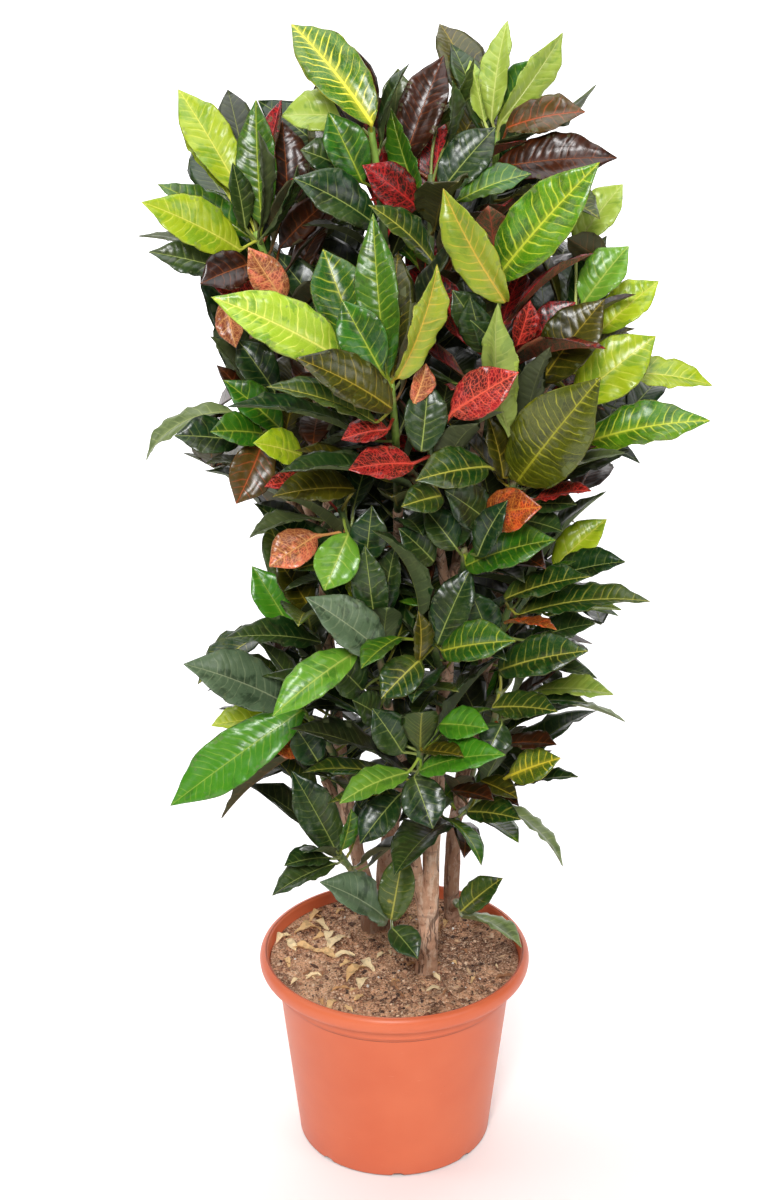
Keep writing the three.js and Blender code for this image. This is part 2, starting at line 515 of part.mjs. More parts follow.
// The cross-sections of a leaf: where the petiole starts, the blade's foot, its stations and its tip
function sectionsOf(leaf, stations, grow, lift) {
  const wide = { ...leaf, width: leaf.width + 2 * grow, length: leaf.length + grow };
  const stalk = unit(minus(leaf.foot, leaf.root));
  const middle = unit(add(stalk, leaf.axis));
  const rows = [[leaf.root, stalk], [leaf.foot, middle]].map(([centre, direction]) => {
    const across = carried(leaf.axis, direction, leaf.across);
    const face = carried(leaf.axis, direction, leaf.face);
    const mid = add(centre, times(face, lift));
    return [-1, 0, 1].map((s) => add(mid, times(across, s * (petiole.radius + grow))));
  });
  stations.forEach((t) => rows.push([-1, 0, 1].map((s) => bladePoint(wide, s, t, lift))));
  const end = bladePoint(wide, 0, 1, lift);
  rows.push([end, end, end]);
  return rows;
}

// A leaf is a three-sided petiole and a blade of four-cornered sections: edge, top, edge, underside
function leafSolid(leaf, stations) {
  const rows = sectionsOf(leaf, stations, 0, 0);
  const above = sectionsOf(leaf, stations, 0, leafThickness / 2);
  const below = sectionsOf(leaf, stations, 0, -leafThickness / 2);
  const heel = blend(rows[0][1], below[0][1], (3 * petiole.radius) / leafThickness);
  const points = [rows[0][0], rows[0][2], heel];
  const first = points.length;
  for (let i = 1; i < rows.length - 1; i += 1) {
    points.push(rows[i][0], above[i][1], rows[i][2], below[i][1]);
  }
  const [left, top, right, under] = [first, first + 1, first + 2, first + 3];
  const faces = [[0, 2, 1], [0, 1, top], [0, top, left], [1, right, top], [1, 2, under], [1, under, right],
    [2, 0, under], [0, left, under]];
  for (let i = 0; i < rows.length - 3; i += 1) {
    for (let k = 0; k < 4; k += 1) {
      const a = first + 4 * i + k;
      const b = first + 4 * i + ((k + 1) % 4);
      if (k % 2 === 0) {
        faces.push([a, b, b + 4], [a, b + 4, a + 4]);
      } else {
        faces.push([a, b, a + 4], [b, b + 4, a + 4]);
      }
    }
  }
  const last = first + 4 * (rows.length - 3);
  const tip = points.length;
  points.push(rows[rows.length - 1][1]);
  for (let k = 0; k < 4; k += 1) {
    faces.push([last + k, last + ((k + 1) % 4), tip]);
  }
  return solidOf(points, faces);
}

// What a leaf is tested with: its middle surface and the thin slab that it keeps free, each as
// triangles and edges, once with the petiole and once without
function sheetOf(rows, first) {
  const triangles = [];
  const edges = [];
  for (let i = first; i < rows.length; i += 1) {
    edges.push([rows[i][0], rows[i][1]], [rows[i][1], rows[i][2]]);
    if (i === rows.length - 1) {
      break;
    }
    const [l, m, r] = rows[i];
    const [nl, nm, nr] = rows[i + 1];
    triangles.push([l, m, nm], [l, nm, nl], [m, r, nm], [r, nr, nm]);
    edges.push([l, nl], [m, nm], [r, nr], [l, nm], [r, nm]);
  }
  return { triangles, edges };
}

function slabOf(above, below, first) {
  const upper = sheetOf(above, first);
  const lower = sheetOf(below, first);
  const triangles = [...upper.triangles, ...lower.triangles];
  const edges = [...upper.edges, ...lower.edges];
  for (let i = first; i < above.length - 1; i += 1) {
    for (const s of [0, 2]) {
      const [top, under, nextTop, nextUnder] = [above[i][s], below[i][s], above[i + 1][s], below[i + 1][s]];
      triangles.push([top, under, nextTop], [under, nextUnder, nextTop]);
      edges.push([top, under]);
    }
  }
  return { triangles, edges };
}

function boxOf(shape) {
  const low = [Infinity, Infinity, Infinity];
  const high = [-Infinity, -Infinity, -Infinity];
  for (const edge of shape.edges) {
    for (const p of edge) {
      for (let c = 0; c < 3; c += 1) {
        low[c] = Math.min(low[c], p[c]);
        high[c] = Math.max(high[c], p[c]);
      }
    }
  }
  return { ...shape, low, high };
}

function testShapes(leaf, stations) {
  const middle = sectionsOf(leaf, stations, clear.round, 0);
  const above = sectionsOf(leaf, stations, clear.round, clear.lift);
  const below = sectionsOf(leaf, stations, clear.round, -clear.lift);
  leaf.rows = middle;
  leaf.whole = { sheet: boxOf(sheetOf(middle, 0)), slab: boxOf(slabOf(above, below, 0)) };
  leaf.bladeOnly = { sheet: boxOf(sheetOf(middle, 1)), slab: boxOf(slabOf(above, below, 1)) };
  return leaf;
}

// Whether the straight line from p to q goes through the triangle
function pierces(p, q, [a, b, c]) {
  const ray = minus(q, p);
  const ab = minus(b, a);
  const ac = minus(c, a);
  const h = cross(ray, ac);
  const det = dot(ab, h);
  if (Math.abs(det) < 1e-9) {
    return false;
  }
  const s = minus(p, a);
  const u = dot(s, h) / det;
  if (u < 0 || u > 1) {
    return false;
  }
  const g = cross(s, ab);
  const v = dot(ray, g) / det;
  if (v < 0 || u + v > 1) {
    return false;
  }
  const t = dot(ac, g) / det;
  return t >= 0 && t <= 1;
}

const apart = (a, b) => [0, 1, 2].some((c) => a.high[c] < b.low[c] || b.high[c] < a.low[c]);

function cutsThrough(edges, triangles) {
  return edges.some(([p, q]) => triangles.some((triangle) => pierces(p, q, triangle)));
}

function meets(slab, sheet) {
  return !apart(slab, sheet)
    && (cutsThrough(sheet.edges, slab.triangles) || cutsThrough(slab.edges, sheet.triangles));
}

// A stretch of stem as an obstacle: a square tube round it
function stemObstacle(from, to, radius, owner) {
  const along = unit(minus(to, from));
  const across = unit(cross(along, Math.abs(along[1]) < 0.9 ? [0, 1, 0] : [1, 0, 0]));
  const up = cross(along, across);
  const corner = (centre, k) => {
    const turn = (Math.PI / 2) * k;
    const reach = add(times(across, Math.cos(turn)), times(up, Math.sin(turn)));
    return add(centre, times(reach, radius * clear.stem));
  };
  const triangles = [];
  const edges = [];
  for (let k = 0; k < 4; k += 1) {
    const [a, b] = [corner(from, k), corner(from, k + 1)];
    const [c, d] = [corner(to, k), corner(to, k + 1)];
    triangles.push([a, b, d], [a, d, c]);
    edges.push([a, c], [a, b], [c, d]);
  }
  return { owner, whole: boxOf({ triangles, edges }) };
}

function clearOf(leaf, placed, obstacles) {
  for (const other of placed) {
    const same = other.shoot === leaf.shoot;
    const mine = same ? leaf.bladeOnly.slab : leaf.whole.slab;
    const theirs = same ? other.bladeOnly.sheet : other.whole.sheet;
    if (meets(mine, theirs)) {
      return false;
    }
  }
  for (const wood of obstacles) {
    const mine = wood.owner === leaf.shoot ? leaf.bladeOnly.slab : leaf.whole.slab;
    if (meets(mine, wood.whole)) {
      return false;
    }
  }
  return true;
}

// Whether a leaf of the rule would hide leaves that the picture shows, or stand out of the bush
function hidesPictured(leaf, marks) {
  const sheet = leaf.bladeOnly.sheet;
  let hidden = 0;
  for (const mark of marks) {
    if (sheet.triangles.some((triangle) => pierces(eye, mark, triangle))) {
      hidden += 1;
    }
  }
  return hidden > 1;
}

function insideBush(leaf) {
  return leaf.rows.slice(2).every((row) => row.every((p) => {
    const [across, down] = pictured(p);
    const left = lookUp(bushOutline, down, 1);
    const right = lookUp(bushOutline, down, 2);
    const inDepth = Math.hypot(p[0], p[1]) < lookUp(bushDepth, p[2], 1);
    return inDepth && across > left && across < right && down > bushOutline[0][0];
  }));
}

// Shoots become lines in space, with the woody part, the green part and the young tip marked
function layShoot(shoot, index) {
  const points = shoot.path.map(seen);
  return finishShoot({ ...shoot, index, points });
}

// A shoot of the back leaves its trunk low, sags a little and then climbs to its crown
const backPath = { elbow: 0.45, elbowSag: 0.1, green: 0.72, greenSag: 0.07 };

function layBackShoot(shoot, index) {
  const line = trunkLines[shoot.trunk];
  const start = pointAlong(line, shoot.from * lineLength(line));
  const turn = radians(shoot.turn);
  const out = [Math.cos(turn), Math.sin(turn), 0];
  const crown = add(times(out, shoot.reach), [0, 0, shoot.height]);
  const run = minus(crown, start);
  const elbow = add(start, add(times(run, backPath.elbow), [0, 0, -backPath.elbowSag * size(run)]));
  const green = add(start, add(times(run, backPath.green), [0, 0, -backPath.greenSag * size(run)]));
  const points = [start, elbow, green, crown];
  return finishShoot({ ...shoot, index, points, green: 1, fillers: shoot.leaves, leaves: [] });
}

function finishShoot(shoot) {
  const line = shoot.points;
  const frames = alongFrames(line);
  const greenAt = shoot.green;
  const youngAt = shoot.young || line.length - 1;
  const leafy = line.slice(greenAt);
  const youngFrom = lineLength(line.slice(greenAt, youngAt + 1));
  const radii = line.map((p, i) => stem.thick + ((stem.thin - stem.thick) * i) / (line.length - 1));
  return {
    ...shoot,
    line,
    frames,
    radii,
    greenAt,
    youngAt,
    leafy,
    leafyLength: lineLength(leafy),
    youngFrom: shoot.young ? youngFrom : Infinity,
  };
}

const trunkLines = {};
for (const [name, trunk] of Object.entries(trunks)) {
  const points = trunk.path.map(seen);
  points[0][2] = soil.level + bark.collar;
  const foot = [points[0][0], points[0][1], soil.level - bark.buried];
  trunkLines[name] = [foot, ...points];
}

const allShoots = [
  ...shoots.map(layShoot),
  ...backShoots.map((shoot, i) => layBackShoot(shoot, i + shoots.length)),
];

const obstacles = [];
for (const [name, line] of Object.entries(trunkLines)) {
  const [thick, thin] = trunks[name].radius;
  for (let i = 1; i < line.length; i += 1) {
    const radius = thick + ((thin - thick) * (i - 1)) / (line.length - 1);
    obstacles.push(stemObstacle(line[i - 1], line[i], radius, name));
  }
}
for (const shoot of allShoots) {
  for (let i = 1; i < shoot.line.length; i += 1) {
    const owner = i > shoot.greenAt ? shoot.name : "wood";
    obstacles.push(stemObstacle(shoot.line[i - 1], shoot.line[i], shoot.radii[i - 1], owner));
  }
}

// Leaves that the picture shows: each as read, then with growing small changes along the line of
// sight, in roll and in bend, until it crosses nothing already placed
const placed = [];
const marks = [];
let leafCount = 0;
const reading = { tries: 70, foot: 35, tip: 80, narrow: 0.25, roll: 35, bend: 25 }; // most that may change

function placePictured(shoot, row, index) {
  const [colour, foot, tip, width, roll, bend] = row;
  for (let k = 0; k < reading.tries; k += 1) {
    const draw = dice(leafCount * seedStep + k);
    const draws = [draw(), draw(), draw()];
    const amount = k / reading.tries;
    const swing = () => (2 * draw() - 1) * amount;
    const at = seen([foot[0], foot[1], foot[2] + reading.foot * swing()]);
    const end = seen([tip[0], tip[1], tip[2] + reading.tip * swing()]);
    const turned = radians(roll + reading.roll * swing());
    const bent = radians(bend + reading.bend * swing());
    const wide = width * (1 - reading.narrow * amount);
    const leaf = makeLeaf(colour, at, end, wide, minus(eye, at), turned, bent, draws);
    leaf.stations = leaf.length < shortLeaf ? fillerStations : heroStations;
    testShapes(seatLeaf(leaf, shoot, index), leaf.stations);
    if (clearOf(leaf, placed, obstacles)) {
      placed.push(leaf);
      for (const [left, mid, right] of leaf.rows.slice(2, -1)) {
        marks.push(mid, blend(left, mid, 0.5), blend(mid, right, 0.5));
      }
      return true;
    }
  }
  return false;
}

// Leaves placed by the rule: set round the stem a golden angle apart, steeper towards the tip
const filler = {
  tries: 40,
  from: 0.12, // share of the leafy stem below the lowest
  over: 0.86, // share that they cover
  spiral: 137.5,
  shootTurn: 57,
  length: 142,
  lengthSpread: 34,
  widthShare: 0.39,
  stalk: 26,
  low: -8, // climb at the bottom and at the top, in degrees
  high: 50,
  bend: 38,
  firstAmount: 0.25,
  swings: { turn: 70, climb: 30, shrink: 0.3, stalk: 0.4, roll: 25, bend: 20 },
};

function placeFiller(shoot, index, colours) {
  const share = (index + 0.5) / shoot.fillers;
  const { swings } = filler;
  const at = pointAlong(shoot.leafy, shoot.leafyLength * (filler.from + filler.over * share));
  for (let k = 0; k < filler.tries; k += 1) {
    const draw = dice(leafCount * seedStep + k);
    const draws = [draw(), draw(), draw()];
    const amount = filler.firstAmount + k / filler.tries;
    const swing = () => (2 * draw() - 1) * amount;
    const turn = radians(filler.spiral * index + filler.shootTurn * shoot.index + swings.turn * swing());
    const climb = radians(filler.low + (filler.high - filler.low) * share + swings.climb * swing());
    const out = [Math.cos(turn) * Math.cos(climb), Math.sin(turn) * Math.cos(climb), Math.sin(climb)];
    const fullLength = filler.length + filler.lengthSpread * (draws[1] - 0.5);
    const length = fullLength * (1 - swings.shrink * amount * draws[2]);
    const foot = add(at, times(out, filler.stalk * (1 + swings.stalk * swing())));
    const tip = add(foot, times(out, length));
    const roll = radians(swings.roll * swing());
    const colour = colours[Math.floor(draw() * colours.length)];
    const bend = radians(filler.bend + swings.bend * swing());
    const leaf = makeLeaf(colour, foot, tip, length * filler.widthShare, [0, 0, 1], roll, bend, draws);
    leaf.stations = fillerStations;
    testShapes(seatLeaf(leaf, shoot, index), leaf.stations);
    if (insideBush(leaf) && clearOf(leaf, placed, obstacles) && !hidesPictured(leaf, marks)) {
      placed.push(leaf);
      return true;
    }
  }
  return false;
}

for (const shoot of allShoots) {
  shoot.leaves.forEach((row, index) => {
    placePictured(shoot, row, index);
    leafCount += 1;
  });
}
const fillerColours = ["dark", "dark", "green", "dark", "olive", "maroon", "darkvein", "dark"];
for (const shoot of allShoots) {
  for (let index = 0; index < shoot.fillers; index += 1) {
    placeFiller(shoot, index, fillerColours);
    leafCount += 1;
  }
}

// The pot: one turned shell with drain notches round its foot
const rimFoot = pot.height - pot.rimHeight;
const collarFoot = rimFoot - pot.collarHeight;

function potSolid() {
  const { height, rimRadius, mouthRadius, collarRadius, wallRadius, baseRadius, wall } = pot;
  const outline = [
    [0, 0], [baseRadius - 2.5, 0], [baseRadius, 2.5], [wallRadius, collarFoot - 2],
    [collarRadius - 1, collarFoot], [collarRadius, rimFoot - 1], [rimRadius - 2, rimFoot],
    [rimRadius, rimFoot + 3], [rimRadius, height - 4],
    [rimRadius - 3, height], [mouthRadius + 1, height], [mouthRadius, height - 2],
    [mouthRadius - 1, soil.level - 3], [collarRadius - wall - 1.5, rimFoot - 2],
    [wallRadius - wall, collarFoot - 2], [baseRadius - wall, pot.floor], [0, pot.floor]];
  const shell = new THREE.LatheGeometry(outline.map(([r, z]) => new THREE.Vector2(r, z)), pot.sides);
  shell.rotateX(Math.PI / 2);
  let solid = toManifold(shell);
  for (let k = 0; k < notch.count; k += 1) {
    const turn = radians(notch.turn - 90 + (360 / notch.count) * k);
    const cut = new THREE.BoxGeometry(2 * notch.depth, notch.width, 2 * notch.height);
    cut.translate(baseRadius, 0, 0);
    cut.rotateZ(turn);
    solid = solid.subtract(toManifold(cut));
  }
  return solid;
}

// The soil fills the pot, with a gentle relief, plain holes for the trunks, and litter sunk into it
const soilRelief = (x, y) => soil.relief * (Math.sin(x * 0.061 + 0.7) * Math.cos(y * 0.053 - 0.4)
  + 0.5 * Math.sin(x * 0.13 - y * 0.11));

function litterSolid(x, y, turn, length, width, lean) {
  const bit = new THREE.BoxGeometry(length, width, litter.thickness, 2, 1, 1);
  const place = bit.attributes.position;
  for (let i = 0; i < place.count; i += 1) {
    const share = (2 * place.getX(i)) / length;
    place.setY(i, place.getY(i) * (1 - 0.7 * share * share));
    place.setZ(i, place.getZ(i) + 0.08 * length * (1 - share * share));
  }
  bit.rotateX(lean);
  bit.rotateZ(turn);
  bit.translate(x, y, soil.level + soilRelief(x, y) + litter.thickness / 2 - litter.sink);
  return toManifold(bit);
}

function soilSolid() {
  const { wall, collarRadius, wallRadius, baseRadius, mouthRadius } = pot;
  const edge = mouthRadius - 1 - gap;
  const outline = [[0, pot.floor + gap], [baseRadius - wall - 2 * gap, pot.floor + gap],
    [wallRadius - wall - 2 * gap, collarFoot - 2], [collarRadius - wall - 1.5 - 2 * gap, rimFoot - 2 + gap],
    [edge - gap, soil.level - 3 + gap]];
  soil.rings.forEach((share) => outline.push([edge * share, soil.level]));
  outline.push([0, soil.level]);
  const body = new THREE.LatheGeometry(outline.map(([r, z]) => new THREE.Vector2(r, z)), pot.sides);
  body.rotateX(Math.PI / 2);
  const place = body.attributes.position;
  for (let i = 0; i < place.count; i += 1) {
    if (place.getZ(i) > soil.level - 0.5) {
      place.setZ(i, soil.level + soilRelief(place.getX(i), place.getY(i)));
    }
  }
  let solid = toManifold(body);
  const draw = dice(77);
  for (let k = 0; k < litter.count; k += 1) {
    const turn = 2 * Math.PI * draw();
    const reach = litter.reach * Math.sqrt(0.15 + 0.8 * draw());
    const long = litter.length * (0.5 + 0.8 * draw());
    const spin = Math.PI * draw();
    const lean = 0.5 * (draw() - 0.5);
    const [x, y] = [reach * Math.cos(turn), reach * Math.sin(turn)];
    const trunkFeet = Object.values(trunkLines).map((line) => line[0]);
    if (trunkFeet.some((foot) => Math.hypot(foot[0] - x, foot[1] - y) < litter.fromTrunk)) {
      continue;
    }
    solid = solid.add(litterSolid(x, y, spin, long, litter.width * (0.6 + 0.6 * draw()), lean));
  }
  for (const [name, line] of Object.entries(trunkLines)) {
    const radius = (trunks[name].radius[0] + gap) / Math.cos(Math.PI / bark.holeSides);
    const hole = new THREE.CylinderGeometry(radius, radius, 2 * bark.buried, bark.holeSides);
    hole.rotateX(Math.PI / 2);
    hole.translate(line[0][0], line[0][1], line[0][2] + bark.buried - gap);
    solid = solid.subtract(toManifold(hole));
  }
  return solid;
}

// A trunk with its branches up to where each goes green
function trunkSolid(name) {
  const line = trunkLines[name];
  const [thick, thin] = trunks[name].radius;
  const radii = line.map((p, i) => thick + (thin - thick) * Math.max(0, (i - 1) / (line.length - 2)));
  const parts = [stemSolid(line, alongFrames(line), radii, bark.sides, 0)];
  for (const stub of stubs.filter((s) => s.trunk === name)) {
    const points = stub.path.map(seen);
    const stubRadii = [stub.radius[0], stub.radius[0], stub.radius[1]];
    parts.push(stemSolid(points, alongFrames(points), stubRadii, stem.sides, 0));
  }
  for (const shoot of allShoots.filter((s) => s.trunk === name)) {
    const woody = (list) => list.slice(0, shoot.greenAt + 1);
    parts.push(stemSolid(woody(shoot.line), woody(shoot.frames), woody(shoot.radii), stem.sides, 0));
  }
  return fuse(parts);
}

// A leafy stem, or its young tip: the stretch of stem with every leaf that grows from it
function leafySolid(shoot, young) {
  const from = young ? shoot.youngAt : shoot.greenAt;
  const to = young || !shoot.young ? shoot.line.length : shoot.youngAt + 1;
  const slice = (list) => list.slice(from, to);
  const parts = [stemSolid(slice(shoot.line), slice(shoot.frames), slice(shoot.radii), stem.sides, gap)];
  for (const leaf of placed.filter((l) => l.shoot === shoot.name && l.onYoung === young)) {
    parts.push(leafSolid(leaf, leaf.stations));
  }
  return fuse(parts);
}

const colours = { pot: 0xe07850, soil: 0x8a6650, bark: 0xb09a86, old: 0x1f4a24, young: 0x7fb030 };
const plant = new THREE.Group();

function addPiece(name, solid, colour, roughness) {
  const material = new THREE.MeshStandardMaterial({ color: colour, roughness, metalness: 0 });
  const piece = new THREE.Mesh(toGeometry(solid), material);
  piece.name = name;
  plant.add(piece);
}

addPiece("pot", potSolid(), colours.pot, 0.5);
addPiece("soil", soilSolid(), colours.soil, 0.95);
for (const name of Object.keys(trunks)) {
  addPiece(name, trunkSolid(name), colours.bark, 0.8);
}
for (const shoot of allShoots) {
  addPiece(`shoot_${shoot.name}`, leafySolid(shoot, false), colours.old, 0.35);
  if (shoot.young) {
    addPiece(`young_${shoot.name}`, leafySolid(shoot, true), colours.young, 0.4);
  }
}

export default plant;
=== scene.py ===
import bpy
import math
import numpy as np
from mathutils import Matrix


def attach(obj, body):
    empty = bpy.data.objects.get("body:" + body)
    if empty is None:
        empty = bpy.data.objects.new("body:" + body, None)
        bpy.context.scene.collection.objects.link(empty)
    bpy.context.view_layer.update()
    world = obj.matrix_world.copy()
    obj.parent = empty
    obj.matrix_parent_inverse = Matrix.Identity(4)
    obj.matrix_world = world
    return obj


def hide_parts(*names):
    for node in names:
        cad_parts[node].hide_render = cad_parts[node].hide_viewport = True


# Potted croton. Lengths are millimetres here, and become metres when a mesh is made.
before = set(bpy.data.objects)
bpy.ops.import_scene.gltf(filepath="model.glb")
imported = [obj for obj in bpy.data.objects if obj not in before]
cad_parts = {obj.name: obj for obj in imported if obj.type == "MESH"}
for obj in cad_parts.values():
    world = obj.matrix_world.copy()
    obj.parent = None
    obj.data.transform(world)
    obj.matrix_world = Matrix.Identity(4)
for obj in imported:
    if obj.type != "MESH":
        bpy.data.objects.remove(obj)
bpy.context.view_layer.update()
print("frame loaded:", len(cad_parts), "nodes")

metres = 0.001

# where things of the picture stand: across and down are its pixels, 778 x 1200 of them, and near is mm in
# front of the pot's axis
view = dict(back=1880, height=1350, tilt=0.38816, focal=2166, acrossMid=394.4, downMid=600, wide=778,
            high=1200)
eye = np.array([0.0, -view["back"], view["height"]])


def seen(spot):
    across, down, near = spot
    away = view["back"] - near
    rise = away * math.tan(math.atan((view["downMid"] - down) / view["focal"]) - view["tilt"])
    depth = away * math.cos(view["tilt"]) - rise * math.sin(view["tilt"])
    return np.array([(across - view["acrossMid"]) / view["focal"] * depth, -near, view["height"] + rise])


def pictured(points):
    away = points[..., 1] + view["back"]
    rise = points[..., 2] - view["height"]
    depth = away * math.cos(view["tilt"]) - rise * math.sin(view["tilt"])
    up = away * math.sin(view["tilt"]) + rise * math.cos(view["tilt"])
    across = view["acrossMid"] + view["focal"] * points[..., 0] / depth
    down = view["downMid"] - view["focal"] * up / depth
    return across, down


def dot(a, b):
    return np.sum(a * b, axis=-1)


def size(a):
    return np.sqrt(dot(a, a))


def unit(a):
    return a / size(a)[..., None]


def cross(a, b):
    a, b = np.broadcast_arrays(a, b)
    return np.stack([a[..., 1] * b[..., 2] - a[..., 2] * b[..., 1],
                     a[..., 2] * b[..., 0] - a[..., 0] * b[..., 2],
                     a[..., 0] * b[..., 1] - a[..., 1] * b[..., 0]], axis=-1)


# a seeded draw of numbers between 0 and 1
def dice(seed):
    state = (seed * 7919 + 12345) & 0xffffffff
    while True:
        state = (state * 1664525 + 1013904223) & 0xffffffff
        yield state / 4294967296


# each trunk: its line up through the picture, and its radius at the foot and at the top in mm
trunks = {
    "trunk_front": dict(radius=[9.5, 5.5], path=[[427, 975, 25], [430, 900, 30], [433, 825, 32],
        [443, 720, 28], [447, 655, 42], [456, 566, 52]]),
    "trunk_left": dict(radius=[8.5, 5], path=[[370, 925, -55], [368, 892, -52], [356, 850, -42],
        [345, 790, -30], [335, 700, -20], [325, 600, -10], [330, 470, 0]]),
    "trunk_middle": dict(radius=[9.5, 5.5], path=[[386, 930, -62], [386, 860, -60], [395, 800, -56],
        [402, 700, -48], [397, 560, -40], [385, 420, -22]]),
    "trunk_right": dict(radius=[8, 5], path=[[452, 925, -70], [452, 870, -68], [456, 815, -64],
        [474, 720, -45], [484, 665, -36], [500, 560, -30], [515, 440, -15]]),
}

# a cut limb, low on the front trunk
stubs = [dict(trunk="trunk_front", path=[[428, 922, 28], [419, 886, 34], [413, 856, 38]], radius=[8.2, 6.8])]

